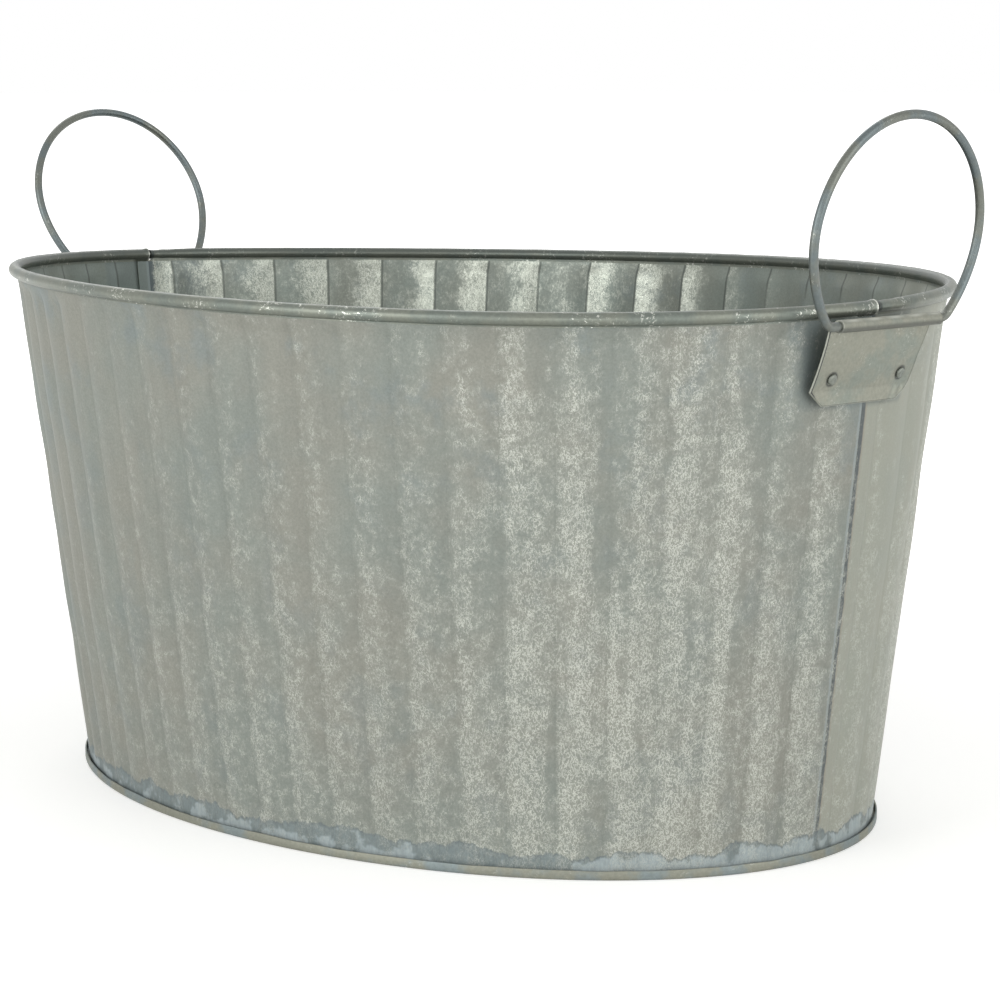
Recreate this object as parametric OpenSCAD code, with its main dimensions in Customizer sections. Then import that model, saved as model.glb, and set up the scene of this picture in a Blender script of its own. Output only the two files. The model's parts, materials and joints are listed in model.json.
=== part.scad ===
// Oval zinc tub: a fluted wall of two lapped half panels, a wired rim, a flat base with a
// turned-up edge, and a hinged wire handle at each end.
// Millimetres, +Z up. The origin is on the floor under the tub's centre, with X along the tub.

/* [Tub] */
// Half length of the rim, to the middle of its rolled edge
rim_half_length = 197.5; // [180:0.5:220]
// Half width of the rim, to the middle of its rolled edge
rim_half_width = 151; // [135:0.5:170]
// Half length of the wall at its foot
foot_half_length = 175; // [155:0.5:180]
// Half width of the wall at its foot
foot_half_width = 123.5; // [105:0.5:130]
// Height of the middle of the rolled edge above the floor
rim_height = 192; // [150:1:230]
// How far the hand-formed rim rises and dips on its way round
rim_warp = 1.6; // [0:0.1:4]
// Where round the tub the rim is highest, in degrees from the right-hand end
rim_warp_turn = 48; // [0:1:90]

/* [Sheet and flutes] */
// Thickness of the wall's sheet
sheet = 0.5; // [0.4:0.05:0.7]
// Flutes in the front half panel
front_flutes = 29; // [20:1:34]
// Flutes in the back half panel
back_flutes = 23; // [20:1:34]
// Depth of a flute, from its round crest in to its sharp valley
flute_depth = 1.4; // [0.6:0.1:2.2]
// Height over which the flutes flatten out under the rim
flute_top_fade = 6; // [4:0.5:12]
// Height over which the flutes flatten out above the base's edge
flute_foot_fade = 8; // [4:0.5:16]
// How far the front panel laps over the back panel at each end
lap = 6; // [4:0.5:8]
// Gap between two lapped sheets
lap_gap = 0.1; // [0.1:0.05:0.2]
// Length over which the front panel steps out before a lap
lap_step = 2; // [1.5:0.5:3]

/* [Rim] */
// Diameter of the stiffening wire inside the rolled edge
rim_wire_d = 3.2; // [2.5:0.1:4]
// Gap between that wire and the sheet rolled round it
rim_wire_gap = 0.25; // [0.2:0.05:0.4]
// How far the wall's outer face lies in from the middle of the rolled edge
wall_inset = 0.5; // [0.4:0.1:1.2]
// Drop from the rolled edge's underside to the straight wall
rim_neck = 0.5; // [0.3:0.1:1.5]

/* [Base] */
// Thickness of the base sheet
base_sheet = 0.6; // [0.5:0.1:1]
// Height of the base's turned-up edge
base_edge_h = 3.4; // [2.5:0.1:6]
// Gap between the wall and that edge
base_gap = 0.1; // [0.1:0.05:0.3]

/* [Lugs] */
// How far the hinge line lies out from the middle of the rolled edge
hinge_out = 6.2; // [3.8:0.1:8]
// How far the hinge line lies below the middle of the rolled edge
hinge_drop = 4.9; // [4.6:0.1:9]
// Thickness of the lug's sheet
lug_sheet = 0.5; // [0.4:0.05:0.8]
// Bare wire between the lug's barrel and the handle's bend, on the side of the plate's long shoulder
barrel_long_gap = 3.1; // [0.6:0.1:5]
// Bare wire between the lug's barrel and the handle's bend, on the other side
barrel_short_gap = 0.7; // [0.6:0.1:5]
// Slit between the end of the barrel's curl and the plate
curl_slit = 0.5; // [0.3:0.1:0.8]
// Height of the plate below the hinge line
plate_h = 27.1; // [24:0.1:36]
// How far the plate's long shoulder stays in from the handle's bend
plate_long_inset = 1; // [0.8:0.1:5]
// How far the plate's other side stays in from the handle's bend
plate_short_inset = 4.6; // [0.8:0.1:8]
// Width of the cut at each lower corner of the plate
plate_corner_w = 5.9; // [2:0.1:7]
// Height of the cut at each lower corner of the plate
plate_corner_h = 4.9; // [2:0.1:6]
// How much flatter than the wall the plate is across its width, where 1 is flat
plate_flatness = 0.6; // [0:0.1:0.8]
// How far the plate's other side flares out towards the barrel
plate_flare_w = 2.5; // [0:0.1:3.5]
// Depth below the hinge line over which it flares
plate_flare_h = 12.5; // [8:0.5:16]
// Gap between the plate and the lapped wall behind it
plate_gap = 0.1; // [0.1:0.05:0.3]

/* [Rivets] */
// Distance from a rivet to the plate's side, at the long shoulder
rivet_long_inset = 8.2; // [6:0.1:9]
// Distance from a rivet to the plate's side, at the other side
rivet_short_inset = 6.7; // [6:0.1:9]
// Depth of the rivets below the hinge line
rivet_drop = 18.1; // [15:0.1:19.5]
// Diameter of a rivet's shank
rivet_d = 2.4; // [2:0.1:3]
// Diameter of a rivet's head
rivet_head_d = 4; // [3.6:0.1:5]
// Height of a rivet's head
rivet_head_h = 0.9; // [0.6:0.1:1.2]
// Gap round a rivet's shank and under its heads
rivet_gap = 0.05; // [0.03:0.01:0.1]

/* [Handles] */
// Diameter of the handle's wire
handle_wire_d = 3.2; // [2.8:0.1:3.6]
// Radial gap between the wire and the barrel that it turns in
hinge_gap = 0.05; // [0.02:0.01:0.1]
// Radius of the loop, to the middle of the wire
loop_radius = 41; // [37:0.2:46]
// Height of the loop's centre above the hinge line
loop_rise = 28; // [24:0.5:31]
// Radius of the bend between the loop and the hinge line
bend_radius = 5; // [4:0.5:7]
// Gap between the wire's two ends inside the barrel
wire_end_gap = 2; // [1:0.5:6]
// How far the right handle leans outwards as it stands
right_lean = 8.2; // [-20:0.1:90]
// How far the left handle leans outwards as it stands
left_lean = 20.6; // [-20:0.1:90]

/* [Hidden] */
round_fn = 48;

zinc = "#9fa195";
zinc_dark = "#8d9187";
wire_grey = "#74776f";

// Straight pieces of sheet that stand for one flute, and for the roll's curve
flute_steps = 4;
roll_steps = 7;
// The roll starts on the tub's inner side, goes over the top and ends under the wire
roll_start = 234;
roll_end = -90;
roll_inner = rim_wire_d / 2 + rim_wire_gap;
roll_outer = roll_inner + sheet;

rim_size = [rim_half_length, rim_half_width];
foot_size = [foot_half_length, foot_half_width];
top_size = [rim_half_length - wall_inset, rim_half_width - wall_inset];
lap_lift = sheet + lap_gap;

// The wall stands on the base sheet. A height's share of the wall is 0 there and 1 at the rim
function share(z) = (z - base_sheet) / (rim_height - base_sheet);

// Rows of the straight wall: share of its height, and share of the flute's depth there
neck_top = rim_height - roll_outer - rim_neck;
wall_rows = [[0, 0],
    [share(base_edge_h + flute_foot_fade), 1],
    [share(neck_top - flute_top_fade), 1],
    [share(neck_top), 0]];
wall_count = len(wall_rows);
row_count = wall_count + roll_steps + 1;

// Two triangles for four corners, in clockwise order seen from outside
function quad(a, b, c, d) = [[a, b, c], [a, c, d]];
// Rises from 0 to 1 with a level start and end
function ease(v) = let (w = min(max(v, 0), 1)) w * w * (3 - 2 * w);

// A point of the oval at turn t, and the direction square to the rim there
function oval(size, t) = [size.x * cos(t), size.y * sin(t)];
function outwards(size, t) = let (n = [size.y * cos(t), size.x * sin(t)]) n / norm(n);
function warp(t) = rim_warp * cos(2 * (t - rim_warp_turn));

// Distance along the rim for every turn of 2 degrees over half the oval, and back again
turn_step = 2;
arc_table = [for (i = 0, s = 0; i <= 180 / turn_step;
    s = s + norm(oval(rim_size, (i + 1) * turn_step) - oval(rim_size, i * turn_step)), i = i + 1)
    [s, i * turn_step]];
half_arc = arc_table[180 / turn_step][0];
function arc_at(t) = lookup(t, [for (row = arc_table) [row[1], row[0]]]);
function turn_at(s) = s < 0 ? -turn_at(-s)
    : s > half_arc ? 180 + turn_at(s - half_arc)
    : lookup(s, arc_table);

function wall_size(k) = foot_size + (top_size - foot_size) * k;
function wall_point(t, k, out) =
    let (p = oval(wall_size(k), t) + outwards(rim_size, t) * out)
    [p.x, p.y, base_sheet + k * (rim_height - base_sheet + warp(t))];
function roll_point(t, r, angle) =
    let (p = oval(rim_size, t) + outwards(rim_size, t) * r * cos(angle))
    [p.x, p.y, rim_height + warp(t) + r * sin(angle)];

// How far a flute draws the wall in, at s along the panel; valley is 0 or 0.5 of a flute from the end
function flute(s, count, valley) =
    let (end = min(s, half_arc - s), fade = ease((end - lap - lap_step) / lap))
    flute_depth * fade * (1 - abs(sin(180 * (s * count / half_arc + valley))));

// One column of a panel: the face that meets the wire, then the other face, foot to edge
function wall_side(t, lift, drawn_in) =
    [for (row = wall_rows) wall_point(t, row[0], lift - drawn_in * row[1])];
function roll_side(t, r) =
    [for (i = [0 : roll_steps]) roll_point(t, r, roll_start + (roll_end - roll_start) * i / roll_steps)];
function wall_column(t, lift, drawn_in) =
    concat(wall_side(t, lift, drawn_in), wall_side(t, lift - sheet, drawn_in));
function full_column(t, lift, drawn_in) =
    concat(wall_side(t, lift, drawn_in), roll_side(t, roll_inner),
        wall_side(t, lift - sheet, drawn_in), roll_side(t, roll_outer));

// The skin between two columns that start at points p and q and have np and nq rows a side
function skin(p, q, np, nq, rows) = concat(
    [for (r = [0 : rows - 2]) each quad(p + r, p + r + 1, q + r + 1, q + r)],
    [for (r = [0 : rows - 2]) each quad(p + np + r, q + nq + r, q + nq + r + 1, p + np + r + 1)],
    quad(p, q, q + nq, p + np),
    quad(q + rows - 1, p + rows - 1, p + np + rows - 1, q + nq + rows - 1));
// The skin over a number of full columns, from point 0 on
function full_skin(count) =
    [for (i = [0 : count - 2])
        each skin(2 * i * row_count, 2 * (i + 1) * row_count, row_count, row_count, row_count)];
// The end of a panel at its first and at its last column, over the rows from low to high
function first_cap(p, n, low, high) =
    [for (r = [low : high - 1]) each quad(p + r + 1, p + r, p + n + r, p + n + r + 1)];
function last_cap(p, n, low, high) =
    [for (r = [low : high - 1]) each quad(p + r, p + r + 1, p + n + r + 1, p + n + r)];

// The front panel stands out by a lap at both ends, and its roll runs from seam to seam
module front_panel() {
    flute_step = half_arc / front_flutes / flute_steps;
    plain = lap + lap_step;
    low_step = ceil((plain + 1) / flute_step);
    high_step = front_flutes * flute_steps - low_step;
    low_end = [0, lap / 2, lap, plain];
    high_end = [for (i = [len(low_end) - 1 : -1 : 0]) half_arc - low_end[i]];
    places = concat(low_end, [for (j = [low_step : high_step]) j * flute_step], high_end);
    columns = [for (s = places)
        full_column(turn_at(s - half_arc), min(s, half_arc - s) < lap + lap_step / 2 ? lap_lift : 0,
            flute(s, front_flutes, 0))];
    last = len(places) - 1;
    faces = concat(full_skin(len(places)),
        first_cap(0, row_count, 0, row_count - 1),
        last_cap(2 * last * row_count, row_count, 0, row_count - 1));
    polyhedron([for (column = columns) each column], faces);
}

// The back panel's roll meets the front one's, and its wall runs on under the lap as a tab
module back_panel() {
    last_flute_step = back_flutes * flute_steps;
    places = concat([lap_gap],
        [for (j = [1 : last_flute_step - 1]) half_arc * j / last_flute_step],
        [half_arc - lap_gap]);
    last = len(places) - 1;
    full = [for (s = places) full_column(turn_at(s), 0, flute(s, back_flutes, 0.5))];
    under = lap - lap_gap;
    tabs = [for (s = [-under, -under / 2, half_arc + under / 2, half_arc + under])
        wall_column(turn_at(s), 0, 0)];
    high_full = 2 * last * row_count;
    low_outer = high_full + 2 * row_count;
    low_inner = low_outer + 2 * wall_count;
    high_inner = low_inner + 2 * wall_count;
    high_outer = high_inner + 2 * wall_count;
    faces = concat(full_skin(len(places)),
        skin(low_outer, low_inner, wall_count, wall_count, wall_count),
        skin(low_inner, 0, wall_count, row_count, wall_count),
        skin(high_full, high_inner, row_count, wall_count, wall_count),
        skin(high_inner, high_outer, wall_count, wall_count, wall_count),
        first_cap(low_outer, wall_count, 0, wall_count - 1),
        first_cap(0, row_count, wall_count - 1, row_count - 1),
        last_cap(high_full, row_count, wall_count - 1, row_count - 1),
        last_cap(high_outer, wall_count, 0, wall_count - 1));
    polyhedron([for (column = concat(full, tabs)) each column], faces);
}

module front_wall() {
    color(zinc) difference() {
        front_panel();
        rivet_holes();
        rotate([0, 0, 180]) rivet_holes();
    }
}

module back_wall() {
    color(zinc_dark) difference() {
        back_panel();
        rivet_holes();
        rotate([0, 0, 180]) rivet_holes();
    }
}

// One closed ring of wire that follows the rim
rim_wire_rings = 120;
rim_wire_sides = 6;

module rim_wire() {
    rings = rim_wire_rings;
    sides = rim_wire_sides;
    points = [for (i = [0 : rings - 1]) for (j = [0 : sides - 1])
        roll_point(turn_at(2 * half_arc * i / rings - half_arc), rim_wire_d / 2, -360 * j / sides)];
    faces = [for (i = [0 : rings - 1]) for (j = [0 : sides - 1])
        let (p = i * sides, q = (i + 1) % rings * sides, k = (j + 1) % sides)
        each quad(p + j, p + k, q + k, q + j)];
    color(wire_grey) polyhedron(points, faces);
}

// The outline of the wall's foot, moved outwards
module foot_outline(out) {
    polygon([for (t = [0 : turn_step : 360 - turn_step])
        oval(foot_size, t) + outwards(foot_size, t) * out]);
}

// The base's edge clears the laps and the wall's outward slope over its own height
wall_slope = max(top_size.x - foot_size.x, top_size.y - foot_size.y) / rim_height;
base_edge_in = lap_lift + wall_slope * base_edge_h + base_gap;

module floor_pan() {
    color(zinc_dark) {
        linear_extrude(base_sheet) foot_outline(base_edge_in + base_sheet);
        linear_extrude(base_edge_h) difference() {
            foot_outline(base_edge_in + base_sheet);
            foot_outline(base_edge_in);
        }
    }
}

// The hinge line, and half the straight wire between the handle's two bends
hinge_x = rim_half_length + hinge_out;
hinge_z = rim_height - hinge_drop;
hinge_half = sqrt(pow(loop_radius - bend_radius, 2) - pow(loop_rise - bend_radius, 2));
bore_r = handle_wire_d / 2 + hinge_gap;
barrel_r = bore_r + lug_sheet;
barrel_low = barrel_long_gap - hinge_half;
barrel_high = hinge_half - barrel_short_gap;
plate_low = plate_long_inset - hinge_half;
plate_high = hinge_half - plate_short_inset;

// The plate leaves the barrel inside its sheet and slants in until its corner cuts, on the wall
plate_seat_depth = plate_h - plate_corner_h;
plate_sink = 0.2 * lug_sheet;
plate_overlap = 0.05 * lug_sheet;
plate_top = sqrt(barrel_r * barrel_r - pow(barrel_r - plate_sink, 2)) - plate_overlap;
function wall_x(y, z) =
    let (size = wall_size(share(z))) size.x * sqrt(1 - pow(y / size.y, 2));
function plate_x(y, depth) =
    let (middle = wall_x(0, hinge_z - depth), bulge = middle - wall_x(y, hinge_z - depth),
        seat = middle - (1 - plate_flatness) * bulge + lap_lift + plate_gap,
        seated = min(depth / plate_seat_depth, 1))
    (hinge_x - barrel_r + plate_sink) * (1 - seated) + seat * seated;

// Straight pieces of sheet across the plate, down its flare and down to its corner cuts
plate_across = 10;
flare_steps = 2;
side_steps = 2;

module lug_plate() {
    across = plate_across;
    down = flare_steps + side_steps + 1;
    depths = concat(
        [for (j = [0 : flare_steps - 1]) plate_top + (plate_flare_h - plate_top) * j / flare_steps],
        [for (j = [0 : side_steps])
            plate_flare_h + (plate_seat_depth - plate_flare_h) * j / side_steps],
        [plate_h]);
    function plate_side(out) = [for (j = [0 : down]) for (i = [0 : across])
        let (cut = j == down ? plate_corner_w : 0,
            flare = plate_flare_w * max(1 - depths[j] / plate_flare_h, 0),
            low = plate_low + cut, high = plate_high - cut + flare,
            y = low + (high - low) * i / across)
        [plate_x(y, depths[j]) + out, y, hinge_z - depths[j]]];
    row = across + 1;
    back = row * (down + 1);
    edge = down * row;
    faces = concat(
        [for (j = [0 : down - 1]) for (i = [0 : across - 1]) let (p = j * row + i)
            each quad(p, p + 1, p + row + 1, p + row)],
        [for (j = [0 : down - 1]) for (i = [0 : across - 1]) let (p = back + j * row + i)
            each quad(p, p + row, p + row + 1, p + 1)],
        [for (i = [0 : across - 1]) each quad(i + 1, i, back + i, back + i + 1)],
        [for (i = [0 : across - 1])
            each quad(edge + i, edge + i + 1, back + edge + i + 1, back + edge + i)],
        [for (j = [0 : down - 1]) let (p = j * row) each quad(p, p + row, back + p + row, back + p)],
        [for (j = [0 : down - 1]) let (p = j * row + across)
            each quad(p + row, p, back + p, back + p + row)]);
    polyhedron(concat(plate_side(lug_sheet), plate_side(0)), faces);
}

// A cylinder along the hinge line, from one place across the tub to another
module hinge_cylinder(radius, low, high) {
    translate([hinge_x, low, hinge_z]) rotate([-90, 0, 0])
        cylinder(h = high - low, r = radius, $fn = round_fn);
}

module lug() {
    slit_x = hinge_x - barrel_r + plate_sink + lug_sheet;
    difference() {
        union() {
            difference() {
                hinge_cylinder(barrel_r, barrel_low, barrel_high);
                translate([slit_x, -hinge_half, hinge_z - 2 * barrel_r])
                    cube([curl_slit, 2 * hinge_half, 2 * barrel_r]);
            }
            lug_plate();
        }
        hinge_cylinder(bore_r, -hinge_half, hinge_half);
        rivet_holes();
    }
}

// How far the wall has turned away at y, seen from above, at the height of the rivets
function wall_turn(y) =
    let (size = wall_size(share(hinge_z - rivet_drop)), out = outwards(size, asin(y / size.y)))
    atan2(out.y, out.x);
function plate_turn(y) = (1 - plate_flatness) * wall_turn(y);
// How far the plate and the wall slope in on their way down at y, at that height
function plate_tilt(y) = atan((plate_x(y, rivet_drop - 1) - plate_x(y, rivet_drop + 1)) / 2);
function wall_tilt(y) =
    atan((wall_x(y, hinge_z - rivet_drop + 1) - wall_x(y, hinge_z - rivet_drop - 1)) / 2);

// Rivets stand square to the plate, one near each of its sides
rivet_places = [plate_low + rivet_long_inset, plate_high - rivet_short_inset];
hole_reach = 2.5 * rivet_head_d;
module at_rivet(y) {
    translate([plate_x(y, rivet_drop) + lug_sheet, y, hinge_z - rivet_drop])
        rotate([0, 90 + plate_tilt(y), plate_turn(y)]) children();
}

module rivet_holes() {
    for (y = rivet_places)
        at_rivet(y) translate([0, 0, -hole_reach])
            cylinder(h = 2 * hole_reach, d = rivet_d + 2 * rivet_gap, $fn = round_fn);
}

// A rivet's low round head, standing on its flat face
module rivet_head() {
    radius = (pow(rivet_head_d / 2, 2) + pow(rivet_head_h, 2)) / (2 * rivet_head_h);
    intersection() {
        translate([0, 0, rivet_head_h - radius]) sphere(r = radius, $fn = round_fn);
        cylinder(h = 2 * rivet_head_h, d = 2 * rivet_head_d, $fn = round_fn);
    }
}

// How far in a panel's flutes draw the wall under a rivet's head, at their deepest there
function drawn_at(y, count, valley) =
    let (s = arc_at(asin(abs(y) / wall_size(share(hinge_z - rivet_drop)).y)))
    max([for (side = [-1, 0, 1]) flute(s + side * rivet_head_d / 2, count, valley)]);

// What a rivet grips: the plate, its stand-off from the wall, the wall with its flute, and the
// slant of the wall under the inner head
module rivets(turned) {
    for (y = rivet_places) {
        in_front = turned ? y > 0 : y < 0;
        drawn = in_front ? drawn_at(y, front_flutes, 0) : drawn_at(y, back_flutes, 0.5);
        stand_off = plate_x(y, rivet_drop) - wall_x(y, hinge_z - rivet_drop);
        slant = rivet_head_d / 2 * (sin(abs(wall_turn(y) - plate_turn(y)))
            + sin(abs(plate_tilt(y) - wall_tilt(y))));
        grip = lug_sheet + stand_off + drawn + sheet + slant + 4 * rivet_gap;
        at_rivet(y) {
            translate([0, 0, rivet_gap]) rivet_head();
            translate([0, 0, -grip]) cylinder(h = grip + 2 * rivet_gap, d = rivet_d, $fn = round_fn);
            translate([0, 0, -grip + rivet_gap]) mirror([0, 0, 1]) rivet_head();
        }
    }
}

module right_lug() {
    color(zinc) lug();
}

module left_lug() {
    color(zinc) rotate([0, 0, 180]) lug();
}

module right_rivets() {
    color(zinc_dark) rivets(false);
}

module left_rivets() {
    color(zinc_dark) rotate([0, 0, 180]) rivets(true);
}

// The wire's path, foot to foot: the middle of each ring, and the direction from the arc's centre
bend_steps = 4;
loop_steps = 40;
wire_sides = 12;
wire_start = 0.3 * handle_wire_d;
loop_end = atan2(bend_radius - loop_rise, hinge_half);
function arc_stops(centre, radius, from, to, steps, first, last) =
    [for (i = [first : last]) let (a = from + (to - from) * i / steps)
        [centre + radius * [cos(a), sin(a)], a]];
wire_stops = concat([[[hinge_half - wire_start, 0], -90]],
    arc_stops([hinge_half, bend_radius], bend_radius, -90, loop_end, bend_steps, 0, bend_steps),
    arc_stops([0, loop_rise], loop_radius, loop_end, 180 - loop_end, loop_steps, 1, loop_steps - 1),
    arc_stops([-hinge_half, bend_radius], bend_radius, 180 - loop_end, 270, bend_steps, 0, bend_steps),
    [[[wire_start - hinge_half, 0], 270]]);

// The loop and its bends as one tube, a little thinner than the straight wire that it starts in
tube_share = 0.998;
module bent_wire() {
    radius = tube_share * handle_wire_d / 2;
    points = [for (stop = wire_stops) for (j = [0 : wire_sides - 1])
        let (out = radius * cos(360 * j / wire_sides))
        [stop[0].x + out * cos(stop[1]), stop[0].y + out * sin(stop[1]),
            radius * sin(360 * j / wire_sides)]];
    last = len(wire_stops) - 1;
    faces = concat(
        [for (i = [0 : last - 1]) for (j = [0 : wire_sides - 1])
            let (p = i * wire_sides, q = p + wire_sides, k = (j + 1) % wire_sides)
            each quad(p + j, p + k, q + k, q + j)],
        [[for (j = [0 : wire_sides - 1]) wire_sides - 1 - j]],
        [[for (j = [0 : wire_sides - 1]) last * wire_sides + j]]);
    polyhedron(points, faces);
}

// A loop of wire that bends in at its foot, with both straight ends in the lug's barrel
module handle(lean) {
    translate([hinge_x, 0, hinge_z]) rotate([0, lean, 0]) rotate([90, 0, 90]) {
        bent_wire();
        for (side = [0, 1]) mirror([side, 0, 0])
            translate([wire_end_gap / 2, 0, 0]) rotate([0, 90, 0])
                cylinder(h = hinge_half - wire_end_gap / 2, d = handle_wire_d, $fn = round_fn);
    }
}

module right_handle() {
    color(wire_grey) handle(right_lean);
}

module left_handle() {
    color(wire_grey) rotate([0, 0, 180]) handle(left_lean);
}

front_wall();
back_wall();
rim_wire();
floor_pan();
right_lug();
left_lug();
right_rivets();
left_rivets();
right_handle();
left_handle();
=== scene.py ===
# %% [markdown]
# An oval zinc tub with two hinged wire handles. The real one is two fluted half panels of
# galvanised sheet, lapped at the ends, rolled round a stiff wire at the rim, and stood in a shallow
# base pan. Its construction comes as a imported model. This file gives every piece its finish: finer
# sheet metal with the marks of hand work, and weathered zinc for its surface.

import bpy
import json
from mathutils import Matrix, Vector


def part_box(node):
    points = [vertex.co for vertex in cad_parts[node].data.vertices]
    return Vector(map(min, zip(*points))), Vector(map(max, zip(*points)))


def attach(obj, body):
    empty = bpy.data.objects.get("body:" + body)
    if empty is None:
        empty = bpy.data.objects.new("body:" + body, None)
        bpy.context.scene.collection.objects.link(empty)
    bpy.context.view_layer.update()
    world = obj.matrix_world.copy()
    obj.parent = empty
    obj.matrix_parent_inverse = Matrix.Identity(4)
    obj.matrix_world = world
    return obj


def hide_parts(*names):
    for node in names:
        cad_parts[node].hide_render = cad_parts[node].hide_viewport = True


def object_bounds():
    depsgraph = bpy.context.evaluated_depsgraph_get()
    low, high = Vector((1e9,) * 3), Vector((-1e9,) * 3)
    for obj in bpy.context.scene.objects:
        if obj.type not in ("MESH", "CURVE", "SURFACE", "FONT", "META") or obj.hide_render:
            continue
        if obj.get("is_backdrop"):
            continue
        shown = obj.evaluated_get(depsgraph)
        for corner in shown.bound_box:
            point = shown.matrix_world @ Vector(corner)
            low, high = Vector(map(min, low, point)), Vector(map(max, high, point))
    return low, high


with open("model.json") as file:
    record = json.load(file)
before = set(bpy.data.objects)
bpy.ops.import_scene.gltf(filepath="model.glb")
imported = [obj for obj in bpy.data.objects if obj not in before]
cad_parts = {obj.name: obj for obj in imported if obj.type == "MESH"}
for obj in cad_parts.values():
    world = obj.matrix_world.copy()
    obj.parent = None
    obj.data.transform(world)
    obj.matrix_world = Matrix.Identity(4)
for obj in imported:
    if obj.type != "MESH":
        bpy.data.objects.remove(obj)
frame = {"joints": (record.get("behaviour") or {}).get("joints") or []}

# %% [markdown]
# The frame's own box is kept, because the finished object may not grow past it. All sizes below
# are in millimetres, the unit of the real object's drawing, and one factor turns them to metres.

# %% Units and the box to stay in
import json
import math

import bmesh
import bpy
import numpy as np
from mathutils import Vector

MM = 0.001
cad_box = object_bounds()
print("frame's box, mm:", [[round(x / MM, 2) for x in corner] for corner in cad_box])

# %% [markdown]
# The tub's plan is an oval that shrinks evenly from the rim to the foot. The rim is rolled round a
# wire, so the wire in the frame gives the oval's size, and the base pan gives the foot's.

# %% The oval, measured on the frame
def node_box(name):
    """The lowest and highest corner of a node of the frame, in millimetres."""
    return [np.array(corner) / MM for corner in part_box(name)]


RIM_WIRE_R = 1.6
PAN_OUT = 1.778
WALL_INSET = 0.5
BASE_SHEET = 0.6
PAN_EDGE_H = 3.4

wire_low, wire_high = node_box("rim_wire")
_, pan_high = node_box("floor_pan")
rim_size = wire_high[:2] - RIM_WIRE_R
rim_z = (wire_low[2] + wire_high[2]) / 2
foot_size = pan_high[:2] - PAN_OUT
top_size = rim_size - WALL_INSET
print("rim half sizes", rim_size.round(2), "at height", round(rim_z, 2), "foot", foot_size.round(2))

# %% [markdown]
# A place on the wall is named by its turn round the oval and its share of the height. Flutes are
# spaced evenly along the rim, and even steps of turn aren't even steps of length on an oval, so a
# table of lengths turns a distance along the rim into a turn. The rim isn't quite level: hand
# forming left it a little high at two opposite places.

# %% Places round the oval
WARP = 1.6
WARP_TURN = math.radians(48)
TABLE_STEPS = 720


def oval(size, t):
    """Points of an oval: its half length times cos t, and its half width times sin t."""
    return np.stack([size[..., 0] * np.cos(t), size[..., 1] * np.sin(t)], -1)


def outwards(t):
    """The level direction square to the rim at turn t."""
    n = np.stack([rim_size[1] * np.cos(t), rim_size[0] * np.sin(t)], -1)
    return n / np.linalg.norm(n, axis=-1, keepdims=True)


def warp(t):
    """How far the rim rises at turn t: two waves round the oval."""
    return WARP * np.cos(2 * (t - WARP_TURN))


turns = np.linspace(0, math.pi, TABLE_STEPS + 1)
steps = np.linalg.norm(np.diff(oval(rim_size, turns), axis=0), axis=1)
lengths = np.concatenate([[0], np.cumsum(steps)])
half_arc = lengths[-1]


def turn_at(s):
    """The turn at distance s along the rim from the right-hand end, up to one round either way."""
    side = np.sign(s)
    s = np.abs(s)
    past = s > half_arc
    return side * (np.interp(np.where(past, s - half_arc, s), lengths, turns) + math.pi * past)


print("half the rim is", round(half_arc, 1), "mm long")

# %% [markdown]
# Hand-worked sheet is never true. A few long waves with random directions and phases, added up,
# give soft dents without any repeat. The seed is fixed, so every run makes the same tub.

# %% Soft dents
WAVES = 14
USUAL_PEAK = 1.6


def dents(x, y, shortest, longest, seed):
    """A smooth field from about -1 to 1: a sum of sine waves over x and y, with lengths in the given
    range, divided by the peak that such a sum usually reaches."""
    rng = np.random.default_rng(seed)
    length = rng.uniform(shortest, longest, WAVES)
    heading = rng.uniform(0, 2 * math.pi, WAVES)
    phase = rng.uniform(0, 2 * math.pi, WAVES)
    total = 0
    for wave, way, start in zip(length, heading, phase):
        total = total + np.sin(2 * math.pi * (x * np.cos(way) + y * np.sin(way)) / wave + start)
    return total / math.sqrt(WAVES) / USUAL_PEAK


def inwards_only(field):
    """A field from about -1 to 1 as one from about -1 to 0, for dents that never stand out."""
    return (field - 1) / 2


def ease(v):
    """Rises from 0 to 1 with a level start and end: three v squared less two v cubed."""
    v = np.clip(v, 0, 1)
    return v * v * (3 - 2 * v)


row = dents(np.arange(400), 0, 24, 90, seed=1)
print("a row of dents runs from", round(row.min(), 2), "to", round(row.max(), 2))

# %% [markdown]
# A cut blank is a grid of cells of which some are kept, so one mask of true and false values can
# hold any outline. Two small helpers number the corners of the kept cells, and of the strips along
# every edge where kept cells end, for whole arrays at once.

# %% Cells and edges of a grid
def cells_to_quads(cells, rows, base, flip):
    """The four corners of every kept cell of a grid of points, numbered from base."""
    i, j = np.nonzero(cells)
    p = base + i * rows + j
    quads = np.stack([p, p + rows, p + rows + 1, p + 1], -1)
    return quads[:, ::-1] if flip else quads


def edge_quads(cells, rows, far):
    """Strips that join the two faces along every edge where kept cells end."""
    wide = np.pad(cells, 1).astype(int)
    across = wide[1:, 1:-1] - wide[:-1, 1:-1]
    down = wide[1:-1, 1:] - wide[1:-1, :-1]
    found = []
    for change, step in ((across, 1), (down, rows)):
        for sign in (1, -1):
            i, j = np.nonzero(change == sign)
            p = i * rows + j
            near = np.stack([p, p + step, p + step + far, p + far], -1)
            found.append(near[:, ::-1] if (sign == 1) != (step == 1) else near)
    return np.concatenate(found)


print("strips round a patch of four cells:", len(edge_quads(np.ones((2, 2), bool), 3, 9)))

# %% [markdown]
# All pieces become meshes in the same way, whether they are sheet, wire or rivet. Points that no
# face uses are left out, material numbers and smooth shading are written for all faces at once, and
# edges that turn sharply stay crisp, as the cut edges of real sheet do.

# %% Meshes from points
TOUCHING = 0.0001


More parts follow.
